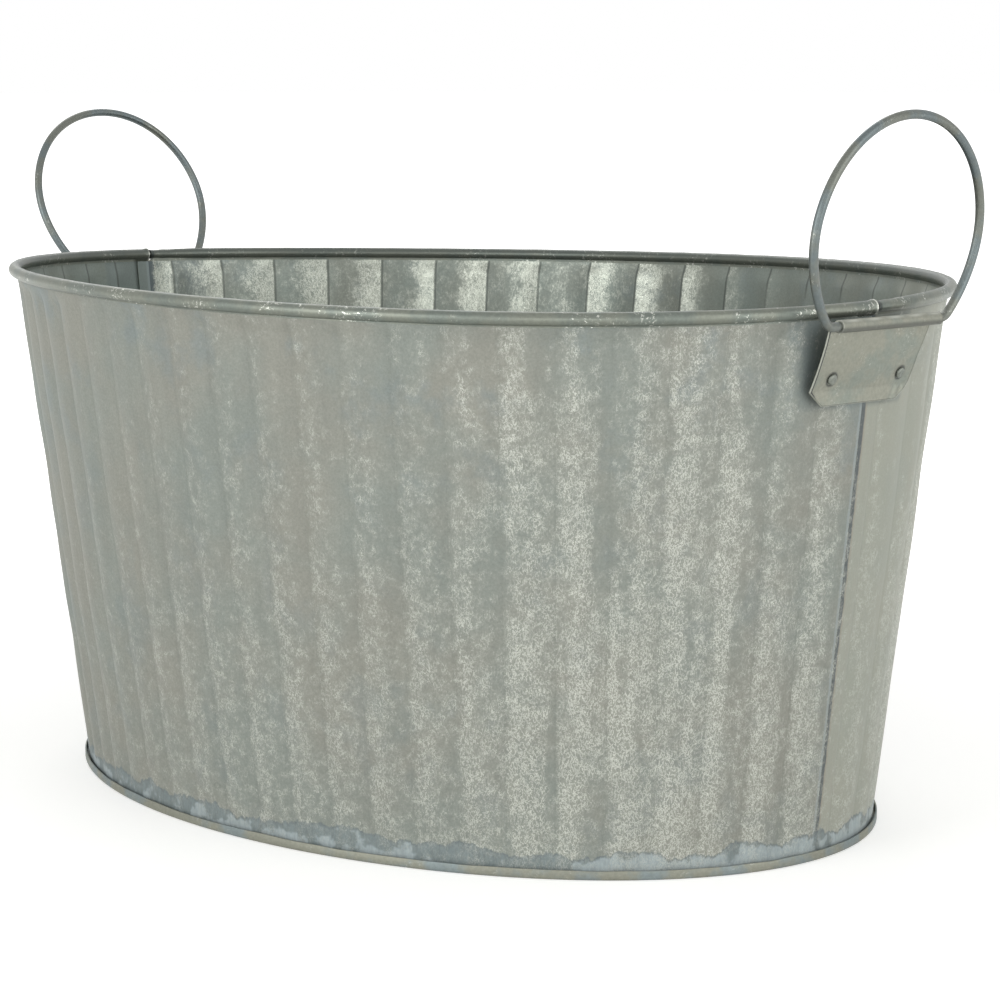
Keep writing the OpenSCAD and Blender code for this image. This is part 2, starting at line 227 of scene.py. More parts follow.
def new_object(name, points, quads, slots=None):
    """A smooth-shaded object from points in millimetres and quads, without unused points."""
    used, quads = np.unique(quads, return_inverse=True)
    quads = quads.reshape(-1, 4)
    mesh = bpy.data.meshes.new(name)
    mesh.from_pydata((points[used] * MM).tolist(), [], quads.tolist())
    if slots is not None:
        mesh.polygons.foreach_set("material_index", slots.astype(np.int32))
    mesh.polygons.foreach_set("use_smooth", np.ones(len(quads), bool))
    mesh.update()
    piece = bpy.data.objects.new(name, mesh)
    bpy.context.scene.collection.objects.link(piece)
    return piece, used


def sharpen(piece, degrees):
    """Keeps edges crisp where the surface turns by more than that, and shades the rest smoothly."""
    piece.data.set_sharp_from_angle(angle=math.radians(degrees))


def close_up(piece):
    """Merges points that are nearer to each other than a hair, as at seams and poles."""
    work = bmesh.new()
    work.from_mesh(piece.data)
    bmesh.ops.remove_doubles(work, verts=work.verts, dist=TOUCHING * MM)
    work.to_mesh(piece.data)
    work.free()


def triangles(piece):
    """How many triangles a piece has."""
    piece.data.calc_loop_triangles()
    return len(piece.data.loop_triangles)


print("points count as one when nearer than", TOUCHING, "mm")

# %% [markdown]
# Sheet metal has two faces and cut edges. One function takes the two faces as grids of points and
# a mask of the cells that the cut blank keeps, and closes every cut edge with a narrow strip. Every
# piece of sheet below is made with it, so all of them are closed and face outwards.

# %% Sheet from two faces
def sheet_object(name, near, far, cells, slots=None):
    """A closed piece of sheet. near and far are its faces, as grids of points, and slots numbers the
    material of each face's rows and of the cut edges."""
    rows = near.shape[1]
    count = near.shape[0] * rows
    points = np.concatenate([near.reshape(-1, 3), far.reshape(-1, 3)])
    first = cells_to_quads(cells, rows, 0, False)
    second = cells_to_quads(cells, rows, count, True)
    edges = edge_quads(cells, rows, count)
    quads = np.concatenate([first, second, edges])
    numbers = None
    if slots is not None:
        j = np.nonzero(cells)[1]
        numbers = np.concatenate([slots[0][j], slots[1][j], np.full(len(edges), slots[2])])
    return new_object(name, points, quads, numbers)


print("quads on both faces of such a patch:", 2 * len(cells_to_quads(np.ones((2, 2), bool), 3, 0, False)))

# %% [markdown]
# The wall is pressed with flutes: round crests that stand out, with sharp valleys between. The
# front panel has 29 and the back one 23. A flute could be a bump texture, but its valleys show at
# the inner side and in the scalloped line under the rim, so it is real shape. Columns of points
# crowd towards each valley, where the sheet bends tightly.

# %% Flutes
LAP = 6.0
LAP_STEP = 2.0
LAP_GAP = 0.1
SHEET = 0.5
FLUTE_DEPTH = 1.4
UNEVEN = 0.16
FRONT_FLUTES, FRONT_VALLEY = 29, 0
BACK_FLUTES, BACK_VALLEY = 23, 0.5
FLUTE_COLUMNS = 14
VALLEY_ROUND = 0.09
COLUMN_GAP = 0.5


def flute_columns(count, valley):
    """Distances along a panel, crowded towards the valleys: each flute's share runs as half a cosine.
    valley is where the first valley lies, in flutes from the panel's end."""
    width = half_arc / count
    share = (1 - np.cos(math.pi * np.arange(FLUTE_COLUMNS) / FLUTE_COLUMNS)) / 2
    s = (np.arange(-1, count + 1)[:, None] + share + valley).ravel() * width
    plain = LAP + LAP_STEP + COLUMN_GAP
    return s[(s > plain) & (s < half_arc - plain)]


def flute_depth(s, count, valley, seed):
    """How far the flutes draw the wall in at s: a sine's size taken from one, and nothing near the laps."""
    rng = np.random.default_rng(seed)
    uneven = 1 + UNEVEN * rng.uniform(-1, 1, count + 2)
    phase = s * count / half_arc + valley
    strength = uneven[np.clip(np.round(phase).astype(int), 0, count + 1)]
    round_sine = np.sqrt(np.sin(math.pi * phase) ** 2 + VALLEY_ROUND**2) - VALLEY_ROUND
    end = np.minimum(s, half_arc - s)
    fade = ease((end - LAP - LAP_STEP) / LAP)
    return FLUTE_DEPTH * fade * strength * (1 - round_sine)


print("columns in the front panel:", len(flute_columns(FRONT_FLUTES, FRONT_VALLEY)))

# %% [markdown]
# One face of the wall runs from the foot up under the rolled rim and round the wire; the other
# lies one sheet behind it. On the roll, the outer face of the wall has become the hidden one that
# grips the wire. Both faces share one recipe, with a different offset and a different radius.

# %% The faces of a wall panel
ROLL_INNER = 1.85
ROLL_OUTER = ROLL_INNER + SHEET
ROLL_START = math.radians(234)
ROLL_END = math.radians(-90)
ROLL_ROWS = 26
NECK = 0.5
FOOT_FADE = 10.8
TOP_FADE = 6.0
FADE_ROWS, FLAT_ROWS = 7, 52
neck_z = rim_z - ROLL_OUTER - NECK
flat_low = BASE_SHEET + FOOT_FADE
flat_high = neck_z - TOP_FADE
heights = np.concatenate([
    np.linspace(BASE_SHEET, flat_low, FADE_ROWS)[:-1],
    np.linspace(flat_low, flat_high, FLAT_ROWS),
    np.linspace(flat_high, neck_z, FADE_ROWS)[1:],
])
shares = (heights - BASE_SHEET) / (rim_z - BASE_SHEET)
row_depth = ease((heights - BASE_SHEET) / FOOT_FADE) * ease((neck_z - heights) / TOP_FADE)
roll_angle = np.linspace(ROLL_START, ROLL_END, ROLL_ROWS)
WALL_ROWS = len(heights)


def wall_face(t, lift, drawn_in):
    """Points up the straight wall: the oval at each height, moved out by the lift and in by the flutes."""
    size = foot_size + (top_size - foot_size) * shares[:, None]
    xy = oval(size[None], t[:, None]) + outwards(t)[:, None] * (lift - drawn_in)[..., None]
    z = BASE_SHEET + shares * (rim_z - BASE_SHEET + warp(t)[:, None])
    return np.concatenate([xy, z[..., None]], -1)


def roll_face(t, radius):
    """Points round the roll: circles of that radius about the rim's line, from inside over the top."""
    out = radius * np.cos(roll_angle)
    xy = oval(rim_size, t)[:, None] + outwards(t)[:, None] * out[..., None]
    z = rim_z + warp(t)[:, None] + radius * np.sin(roll_angle)
    return np.concatenate([xy, z[..., None]], -1)


print("rows up the wall:", WALL_ROWS, "and round the roll:", ROLL_ROWS)

# %% [markdown]
# Between its flutes the sheet has soft dents, which stay clear of the laps, the rim and the foot,
# where it has to fit other pieces. Where the roll is pressed in, its inner face gives way by half
# as much, because the wire is inside it.

# %% Both faces of a panel
DENT = 0.28
DENT_LENGTHS = (24, 90)
DENT_FADE = 35.0
QUIET_END, QUIET_TOP, QUIET_FOOT = 10.0, 30.0, 25.0
GIVES_WAY = 0.5


def panel_faces(s, turn, lift, drawn_in, roll_out, seed):
    """Both faces of a panel at distances s along it: the straight wall, then the roll. roll_out is how
    far the roll stands proud of its usual radius, for each column and row."""
    end = np.minimum(s, half_arc - s)[:, None]
    quiet = ease((end - QUIET_END) / DENT_FADE) * ease((neck_z - heights) / QUIET_TOP)
    quiet = quiet * ease(heights / QUIET_FOOT)
    soft = DENT * quiet * dents(s[:, None], heights[None], *DENT_LENGTHS, seed)
    inwards = drawn_in[:, None] * row_depth - soft
    lift = lift[:, None]
    gripping = np.minimum(roll_out, 0) * GIVES_WAY + np.maximum(roll_out, 0)
    outer = [wall_face(turn, lift, inwards), roll_face(turn, ROLL_INNER + gripping)]
    inner = [wall_face(turn, lift - SHEET, inwards), roll_face(turn, ROLL_OUTER + roll_out)]
    return np.concatenate(outer, 1), np.concatenate(inner, 1)


print("dents up to about", DENT, "mm deep and", DENT_LENGTHS, "mm long")

# %% [markdown]
# The front panel laps over the back one at both ends of the tub. Its edge stands off by one sheet
# and a hair, and its roll ends a little proud, where the tinsmith closed it last. The roll has small
# hammered flats, and the flutes are pressed less deeply towards the left end, where they hardly show.

# %% Front panel
OUTER, INNER, ROLLED = 0, 1, 2
PROUD = 0.34
PROUD_LENGTH = 2.2
ROLL_DENT = 0.09
ROLL_DENT_LENGTHS = (5, 26)
CALM = 0.55
CALM_UNTIL, CALM_FADE = 60.0, 120.0


def panel_slots():
    """Material numbers up a panel for its outer face, its inner face and its cut edges."""
    wall = np.arange(WALL_ROWS + ROLL_ROWS - 1) < WALL_ROWS - 1
    return [np.where(wall, OUTER, ROLLED), np.where(wall, INNER, ROLLED), ROLLED]


def roll_wobble(s, seed):
    """Small hammered flats on the roll, all inwards, for each column and row of it."""
    round_roll = ROLL_OUTER * roll_angle[None]
    return ROLL_DENT * inwards_only(dents(s[:, None], round_roll, *ROLL_DENT_LENGTHS, seed))


low_end = np.array([0, 0.3, 0.8, 1.4, 2.2, 3, 4.5, LAP, LAP + 0.5, LAP + 1, LAP + 1.5, LAP + LAP_STEP])
middle = flute_columns(FRONT_FLUTES, FRONT_VALLEY)
front_s = np.concatenate([low_end, middle, half_arc - low_end[::-1]])
front_end = np.minimum(front_s, half_arc - front_s)
front_lift = (SHEET + LAP_GAP) * ease((LAP + LAP_STEP - front_end) / LAP_STEP)
front_proud = roll_wobble(front_s, seed=3) + PROUD * ease(1 - front_end / PROUD_LENGTH)[:, None]
front_calm = CALM + (1 - CALM) * ease((front_s - CALM_UNTIL) / CALM_FADE)
drawn_in = front_calm * flute_depth(front_s, FRONT_FLUTES, FRONT_VALLEY, seed=11)
faces = panel_faces(front_s, turn_at(front_s - half_arc), front_lift, drawn_in, front_proud, seed=21)
cells = np.ones((len(front_s) - 1, WALL_ROWS + ROLL_ROWS - 1), bool)
front_sheet, front_used = sheet_object("front_panel", *faces, cells, panel_slots())
print("front panel:", triangles(front_sheet), "triangles")

# %% [markdown]
# The back panel's roll stops at the seam, pinched a little thinner and creased where the front one
# closes on it, while its wall runs on under the lap as a tab. The mask of cells leaves the roll off
# the tab.

# %% Back panel
PINCH = 0.5
PINCH_LENGTH = 26.0
EVEN, UNSTEADY, CREASED = 0.7, 0.3, 0.3
UNSTEADY_LENGTH = 2.3
CREASE_AT, CREASE_WIDTH = 0.9, 0.35
CREASE_WANDER, WANDER_LENGTH = 0.25, 3
ROLL_GAP = 1.3
tab = (LAP_GAP - LAP) * np.array([1, 0.66, 0.33])
seam_side = np.array([LAP_GAP, ROLL_GAP, 1.9, 2.5, 3.2, 4, 5, 6, 7, LAP + LAP_STEP])
middle = flute_columns(BACK_FLUTES, BACK_VALLEY)
back_s = np.concatenate([tab, seam_side, middle, half_arc - seam_side[::-1], half_arc - tab[::-1]])
back_end = np.minimum(back_s, half_arc - back_s)
pinch = PINCH * ease((PINCH_LENGTH - back_end) / PINCH_LENGTH)[:, None]
off_crease = roll_angle - CREASE_AT - CREASE_WANDER * np.sin(back_s[:, None] / WANDER_LENGTH)
crease = np.exp(-((off_crease / CREASE_WIDTH) ** 2))
unsteady = np.sin(back_s[:, None] / UNSTEADY_LENGTH) ** 2
crushed = pinch * (EVEN + UNSTEADY * unsteady + CREASED * crease)
drawn_in = flute_depth(back_s, BACK_FLUTES, BACK_VALLEY, seed=12)
faces = panel_faces(back_s, turn_at(back_s), np.zeros(len(back_s)), drawn_in,
    roll_wobble(back_s, seed=4) - crushed, seed=22)
cells = np.ones((len(back_s) - 1, WALL_ROWS + ROLL_ROWS - 1), bool)
bare = len(tab) + 1
for columns in (slice(0, bare), slice(len(cells) - bare, None)):
    cells[columns, WALL_ROWS - 1:] = False
back_sheet, back_used = sheet_object("back_panel", *faces, cells, panel_slots())
print("back panel:", triangles(back_sheet), "triangles")

# %% [markdown]
# The marks on the wall follow the sheet: painted shade lines the valleys, and flux and the painted
# shadow of the lap's edge run down the seams. So each point stores how far it lies from the nearest
# valley and from its panel's end, and the materials read that. The inner side of the rolled rim is
# stored as painted shade, and so is the slot where the back panel's roll meets the front one's. The
# front roll's cut lip is stored as a painted highlight.

# %% Distances stored on the wall
SHADED_ROLL = 0.72
SHADE_FROM, SHADE_OVER = math.radians(70), math.radians(32)
PALER = 0.7
PALER_FROM, PALER_OVER = math.radians(150), math.radians(40)
SLOT, SLOT_EDGE = 3.3, 0.7
LIP, LIP_EDGE = 0.85, 0.5
OVER, UNDER = 1, -1


def store(piece, name, values):
    """Puts one number on every point of a piece, for its material to read."""
    field = piece.data.attributes.new(name, "FLOAT", "POINT")
    field.data.foreach_set("value", values.astype(np.float32))


def store_places(piece, used, s, count, valley, side):
    """Stores the distance to the nearest valley and to the panel's own ends, in millimetres, the share
    of a flute passed, and where shade or a highlight is painted. side says whether the panel lies over
    the other one at the seam or under it, and is the sign of the distance from the seam."""
    rows = WALL_ROWS + ROLL_ROWS
    phase = s * count / half_arc + valley
    end = np.minimum(s, half_arc - s)
    along = {
        "from_valley": np.abs(phase - np.round(phase)) * half_arc / count,
        "in_flute": phase - np.floor(phase),
        "from_seam": side * end,
    }
    for name, values in along.items():
        store(piece, name, np.tile(np.repeat(values, rows), 2)[used])
    # Painted shade: the roll's inner side is darkened, less on its lowest inner part, and so is the back
    # roll's slot beside the front roll's end.
    rolled = SHADED_ROLL * ease((roll_angle - SHADE_FROM) / SHADE_OVER)
    rolled = rolled * (1 - PALER * ease((roll_angle - PALER_FROM) / PALER_OVER))
    slot = (side < 0) * ease((SLOT - end) / SLOT_EDGE)
    # Painted highlight: the front roll's cut lip is brightened.
    lip = (side > 0) * ease((LIP - end) / LIP_EDGE)
    wall = np.zeros((len(s), WALL_ROWS))
    on_roll = {"painted_shade": np.maximum(rolled, slot[:, None]), "painted_highlight": np.repeat(lip[:, None], ROLL_ROWS, 1)}
    for name, values in on_roll.items():
        store(piece, name, np.tile(np.concatenate([wall, values], 1).ravel(), 2)[used])


store_places(front_sheet, front_used, front_s, FRONT_FLUTES, FRONT_VALLEY, OVER)
store_places(back_sheet, back_used, back_s, BACK_FLUTES, BACK_VALLEY, UNDER)
print("points that store their places:", len(front_used) + len(back_used))

# %% [markdown]
# Painted shade also lies on the wall round the lugs. Each point of the wall stores how far outside
# the outline of the nearest lug's plate it lies, and a place well away from the tub's ends lies by no lug.

# %% Distance from the lugs
PLATE_LOW, PLATE_HIGH = -26.695, 23.095
PLATE_H = 27.1
LUG_ENDS, NO_LUG = 100, 99
hinge = np.array(next(j for j in frame["joints"] if j["name"] == "right_handle_hinge")["pos_m"]) / MM


def store_from_lug(piece):
    """Stores how far each point lies from the plate's outline: its distance to the side and its
    distance below, as two sides of a right angle, in millimetres."""
    points = np.empty(3 * len(piece.data.vertices), np.float32)
    piece.data.vertices.foreach_get("co", points)
    x, y, z = points.reshape(-1, 3).T / MM
    y = y * np.sign(x)
    aside = np.maximum(np.maximum(PLATE_LOW - y, y - PLATE_HIGH), 0)
    below = np.maximum(hinge[2] - PLATE_H - z, 0)
    store(piece, "from_lug", np.hypot(aside, below) + NO_LUG * (np.abs(x) < LUG_ENDS))


for panel in (front_sheet, back_sheet):
    store_from_lug(panel)
    sharpen(panel, degrees=32)
stored = [field.name for field in front_sheet.data.attributes if field.data_type == "FLOAT"]
print("stored on a panel:", stored)

# %% [markdown]
# The base is a shallow pan of heavier sheet whose edge is turned up round the foot of the wall. A
# flat disc would do from far off, but the turned edge is bent round a small radius and its cut top
# wanders, and that is what catches the light along the floor.

# %% Profile of the base pan
PAN_BEND, BEND_ROWS = 0.75, 6
PAN_LIP, PAN_LIP_IN = 0.15, 0.1


def pan_profile():
    """Offsets from the pan's outer face and heights: a quarter circle under the bend, the edge, and a
    smaller quarter circle back inside."""
    bend = np.radians(np.linspace(-90, 0, BEND_ROWS))
    low, high = [np.stack([r * np.cos(bend) - PAN_BEND, r * np.sin(bend) + PAN_BEND], -1)
        for r in (PAN_BEND, PAN_BEND - BASE_SHEET)]
    shoulder = PAN_EDGE_H - PAN_LIP
    top = [[0, shoulder], [-PAN_LIP_IN, PAN_EDGE_H], [PAN_LIP_IN - BASE_SHEET, PAN_EDGE_H],
        [-BASE_SHEET, shoulder]]
    return np.concatenate([low, top, high[::-1]])


profile = pan_profile()
print("points in the pan's profile:", len(profile))

# %% [markdown]
# The profile is carried round the foot's outline, and its top wanders by a third of a millimetre.
# Rings that shrink to the middle close the under side and the upper side.

# %% Base pan
PAN_COLUMNS, PAN_RINGS = 720, 14
PAN_WANDER = 0.35
WANDER_CIRCLE, WANDER_LENGTHS = 120, (9, 50)
pan_t = np.linspace(0, 2 * math.pi, PAN_COLUMNS, endpoint=False)
circle = WANDER_CIRCLE * np.stack([np.cos(pan_t), np.sin(pan_t)])
wander = PAN_WANDER * inwards_only(dents(*circle, *WANDER_LENGTHS, seed=31))
rise = np.clip((profile[:, 1] - PAN_BEND) / (PAN_EDGE_H - PAN_BEND), 0, 1)
pan_outline = oval(foot_size, pan_t) + outwards(pan_t) * PAN_OUT
pan_xy = pan_outline[:, None] + outwards(pan_t)[:, None] * profile[None, :, :1]
pan_z = profile[None, :, 1] + wander[:, None] * rise
pan_edge = np.concatenate([pan_xy, pan_z[..., None]], -1)
shrink = np.linspace(0, 1, PAN_RINGS)[None, :, None]
under_side = pan_edge[:, :1] * [1, 1, 0] * shrink
upper_side = pan_edge[:, -1:] * [1, 1, 0] * shrink[:, ::-1] + [0, 0, BASE_SHEET]
pan_grid = np.concatenate([under_side[:, :-1], pan_edge, upper_side[:, 1:]], 1)


def ring_quads(columns, rows):
    """Quads of a grid that is closed round its columns."""
    i, j = np.meshgrid(np.arange(columns), np.arange(rows - 1), indexing="ij")
    p = (i * rows + j).ravel()
    q = ((i + 1) % columns * rows + j).ravel()
    return np.stack([p, q, q + 1, p + 1], -1)


base_pan, _ = new_object("base_pan", pan_grid.reshape(-1, 3), ring_quads(PAN_COLUMNS, pan_grid.shape[1]))
close_up(base_pan)
sharpen(base_pan, degrees=40)
print("base pan:", triangles(base_pan), "triangles")

# %% [markdown]
# A lug is one blank of thin sheet. Its upper part is curled into a barrel for the handle's wire to
# turn in, and its lower part is a plate, riveted through the lap. It is worked out as a flat blank:
# a path down the sheet, from the end of the curl over the barrel to the plate's foot, and a width at
# each place on that path. The plate's high side flares out towards the barrel.

# %% The lug's blank
LUG_SHEET = 0.5
BARREL_MIDDLE = 1.9
BARREL_LOW, BARREL_HIGH = -24.595, 26.995
PLATE_TOP = 0.62
CORNER_W, CORNER_H = 5.9, 4.9
FLARE_W, FLARE_H = 2.5, 12.5
PLATE_FLATNESS = 0.6
PLATE_OFF = 0.7
PLATE_SEAT = PLATE_H - CORNER_H
PLATE_START = 2.05


def wall_x(y, z):
    """Where the outer face of the plain wall is, seen along the tub, at y and z."""
    size = foot_size + (top_size - foot_size) * ((z - BASE_SHEET) / (rim_z - BASE_SHEET))[..., None]
    return size[..., 0] * np.sqrt(1 - (y / size[..., 1]) ** 2)


def plate_x(y, depth):
    """Where the plate's back face is: it slants in from the barrel to the wall, bowed less than it."""
    z = hinge[2] - depth
    middle = wall_x(np.zeros_like(y), z)
    seat = middle - (1 - PLATE_FLATNESS) * (middle - wall_x(y, z)) + PLATE_OFF
    seated = np.minimum(depth / PLATE_SEAT, 1)
    return (hinge[0] - PLATE_START) * (1 - seated) + seat * seated


print("hinge line at", hinge.round(2), "mm")

# %% [markdown]
# The plate's outline steps in from the barrel's ends, and its lower corners are cut off. Columns of
# points crowd at the edges and at both steps, and each point knows how far inside the outline it
# lies, for the burr and the grime.

# %% Outline of a lug
COLUMN_MARGIN, MIDDLE_COLUMNS = 1.3, 90
step = BARREL_HIGH - PLATE_HIGH
lug_y = np.concatenate([
    PLATE_LOW + np.array([0, 0.1, 0.25, 0.45, 0.65, 0.85, 1.2, BARREL_LOW - PLATE_LOW, 2.7]),
    np.linspace(BARREL_LOW + COLUMN_MARGIN, PLATE_HIGH - COLUMN_MARGIN, MIDDLE_COLUMNS),
    PLATE_HIGH + np.array([-0.6, -0.3, -0.1, 0, 1.2, step - 0.9, step]),
])


def flared(y, depth):
    """A place across the blank, spread towards the high side near the barrel, where the plate flares.
    The spread falls back to nothing at the barrel's own end."""
    rising = (y - PLATE_LOW) / (PLATE_HIGH - PLATE_LOW)
    falling = (BARREL_HIGH - y) / (BARREL_HIGH - PLATE_HIGH)
    share = np.clip(np.minimum(rising, falling), 0, 1)
    return y + FLARE_W * share * np.maximum(1 - depth / FLARE_H, 0)


def edge_distance(y, depth):
    """How far inside the plate's outline a point is: the least of its distances to both sides, to the
    foot and to the two slanting corner cuts."""
    below = PLATE_H - depth
    distances = [PLATE_HIGH - y, y - PLATE_LOW, below]
    for aside in distances[:2]:
        to_cut = aside * CORNER_H + below * CORNER_W - CORNER_W * CORNER_H
        distances.append(to_cut / math.hypot(CORNER_W, CORNER_H))
    return np.minimum.reduce(distances)


print("columns across a lug:", len(lug_y))

# %% [markdown]
# The top of the blank is curled round the handle's wire, most of the way round, and hand bending
# leaves the curl a little wavy. It could be a plain cylinder, but its free end shows from below, so
# it is an open curl with two faces.

# %% Faces of the barrel
CURL_START, CURL_END, CURL_ROWS = math.radians(-132), math.radians(180), 44
BARREL_WAVE, BARREL_LENGTHS = 0.03, (5, 20)
curl = np.linspace(CURL_START, CURL_END, CURL_ROWS)


def barrel_faces(seed):
    """Both faces of the barrel: circles about the hinge line, the outer ones a little wavy."""
    y, angle = np.meshgrid(lug_y, curl, indexing="ij")
    wave = BARREL_WAVE * dents(y, 4 * angle, *BARREL_LENGTHS, seed)
    radii = (BARREL_MIDDLE + LUG_SHEET / 2 + np.minimum(wave, 0), BARREL_MIDDLE - LUG_SHEET / 2)
    return [np.stack([hinge[0] + r * np.cos(angle), y, hinge[2] + r * np.sin(angle)], -1) for r in radii]


print("rows round the barrel:", CURL_ROWS)

# %% [markdown]
# The hammer that set the rivets dished the plate round them and missed once, and shears left a low
# burr along the edge. All are a fraction of a millimetre, and they show as thin light and dark
# lines. They are added to the plate's outer face, and fade out towards the barrel.

# %% Hammer marks and burr
PLATE_WAVE, PLATE_LENGTHS = 0.1, (14, 45)
RIVET_DEPTH = 18.1
RIVET_Y = (-18.495, 16.395)
DISH, DISH_WIDTH = 0.28, 3.4
MISSED_BLOW, MISSED_WIDTH, MISSED_AT = 0.28, 1.1, (-2.7, 2.9)
BURR, BURR_WIDTH = 0.12, 0.5
CORNER_WAVE = 0.25
DEEPEST = -0.3
WAVE_FADE, BURR_FADE, PLATE_FADE = 8, 3, 6
CORNER_ACROSS, CORNER_DOWN, CORNER_TURNS = (14, 8), (8, 5), (1.5, 0.6)


def hammered(y, depth, inside, seed):
    """How far the plate's outer face stands out: long waves, a burr at the edge and a wavy near corner,
    less a bell-shaped dish at each blow."""
    shape = PLATE_WAVE * dents(y, depth, *PLATE_LENGTHS, seed) * ease(depth / WAVE_FADE)
    shape = shape + BURR * (1 - ease(inside / BURR_WIDTH)) * ease(depth / BURR_FADE)
    near_side = ease((y - PLATE_HIGH + CORNER_ACROSS[0]) / CORNER_ACROSS[1])
    near_foot = ease((depth - PLATE_H + CORNER_DOWN[0]) / CORNER_DOWN[1])
    wave = np.sin(y * CORNER_TURNS[0] + depth * CORNER_TURNS[1])
    shape = shape + CORNER_WAVE * (near_side * near_foot) * wave
    blows = [(place, RIVET_DEPTH, DISH, DISH_WIDTH) for place in RIVET_Y]
    blows.append((RIVET_Y[0] + MISSED_AT[0], RIVET_DEPTH + MISSED_AT[1], MISSED_BLOW, MISSED_WIDTH))
    for across, down, deep, wide in blows:
        shape = shape - deep * np.exp(-((np.hypot(y - across, depth - down) / wide) ** 2))
    return np.maximum(shape, DEEPEST) * ease(depth / PLATE_FADE)


print("a blow dents the plate by", DISH, "mm and the burr stands", BURR, "mm proud")

# %% [markdown]
# The plate's two corners at the foot are cut off on a slant. The grid isn't masked for that:
# instead its columns are drawn in towards the middle below the place where the cuts begin, so the
# cut edges are as smooth as real ones.

# %% Faces of the plate
lug_depths = np.concatenate([
    [0.3, PLATE_TOP],
    np.linspace(1.3, PLATE_SEAT, 44),
    np.linspace(PLATE_SEAT, PLATE_H - 0.45, 10)[1:],
    PLATE_H - np.array([0.25, 0.1, 0]),
])


def plate_faces(seed):
    """Both faces of the bowed plate, one sheet apart, and where their points are: across the blank,
    down it and inside its outline."""
    y, depth = np.meshgrid(lug_y, lug_depths, indexing="ij")
    middle = (PLATE_LOW + PLATE_HIGH) / 2
    cut = np.clip((depth - PLATE_SEAT) / CORNER_H, 0, 1)
    y = middle + (y - middle) * (1 - 2 * CORNER_W / (PLATE_HIGH - PLATE_LOW) * cut)
    inside = np.maximum(edge_distance(y, depth), 0)
    y = flared(y, depth)
    x = plate_x(y, depth)
    proud = x + LUG_SHEET + hammered(y, depth, inside, seed + 1)
    outer, inner = [np.stack([level, y, hinge[2] - depth], -1) for level in (proud, x)]
    return outer, inner, y, depth, inside


print("rows down the plate:", len(lug_depths))

# %% [markdown]
# Painted shade draws a dark line just inside the plate's edge, broader at the low side, a ring round
# each rivet and a crease below the barrel, and it fills the barrel's far end and underside. Painted
# highlights brighten the barrel's top and near end, and the plate's cut edge too.

# %% Marks on a lug
LINE_START, LINE_WIDTH, LINE_SOFT, LINE_DARK = 0.15, 0.42, 0.2, 0.55
LOW_SIDE, LOW_SOFT, BROADER = 3.0, 1.5, 0.4
RING_R, RING_WIDTH, RING_DARK = 2.15, 0.38, 0.95
CREASE_DARK, CREASE_DEPTH, CREASE_SOFT = 0.5, 2.2, 0.8
END_DARK, END_WIDTH, END_SOFT = 0.6, 0.5, 0.4
BELOW_DARK, BELOW_ANGLE, BELOW_SOFT = 0.6, 0.3, 0.8
LIP_SHINE, LIP_WIDTH, LIP_SOFT = 0.7, 0.5, 0.3
TOP_SHINE, TOP_ANGLE, TOP_WIDTH = 0.8, 0.95, 0.45
TOP_EVEN, TOP_UNEVEN, UNEVEN_LENGTH = 0.6, 0.4, 1.7
EDGE_SHINE, EDGE_WIDTH = 0.8, 0.12


def plate_shade(y, depth, inside):
    """How dark the painted shade on the plate is: the darkest of the line inside its edge, the rings and the
    crease.
    """
    low_side = BROADER * ease((PLATE_LOW + LOW_SIDE - y) / LOW_SOFT)
    line = ease(inside / LINE_START) * ease((LINE_WIDTH + low_side - inside) / LINE_SOFT)
    marks = [line * (LINE_DARK + low_side), CREASE_DARK * ease((CREASE_DEPTH - depth) / CREASE_SOFT)]
    for place in RIVET_Y:
        away = np.hypot(y - place, depth - RIVET_DEPTH)
        marks.append(RING_DARK * np.exp(-(((away - RING_R) / RING_WIDTH) ** 2)))
    return np.maximum.reduce(marks)


def barrel_shade(y, angle):
    """Painted shade in the barrel's far end and under it."""
    end = END_DARK * ease((y - BARREL_HIGH + END_WIDTH) / END_SOFT)
    below = BELOW_DARK * ease((BELOW_ANGLE - angle) / BELOW_SOFT)
    return np.maximum(end[:, None], below[None])


def barrel_highlight(y, angle):
    """The painted highlight at the barrel's near end and along its top, which comes and goes."""
    lip = LIP_SHINE * ease((BARREL_LOW + LIP_WIDTH - y) / LIP_SOFT)
    top = TOP_SHINE * ease(1 - np.abs(angle - TOP_ANGLE) / TOP_WIDTH)
    comes_and_goes = TOP_EVEN + TOP_UNEVEN * np.sin(y[:, None] / UNEVEN_LENGTH)
    return np.maximum(lip[:, None], top[None] * comes_and_goes)


print("barrel's brightest rub:", round(barrel_highlight(lug_y, curl).max(), 2))

# %% [markdown]
# The barrel's rows and the plate's rows make one sheet. The barrel and the plate reach out to
# different sides, and the mask of cells cuts the blank back beside each of them.

# %% Both lugs
HALF_TURN = np.array([-1, -1, 1])
HAIR = 1e-6


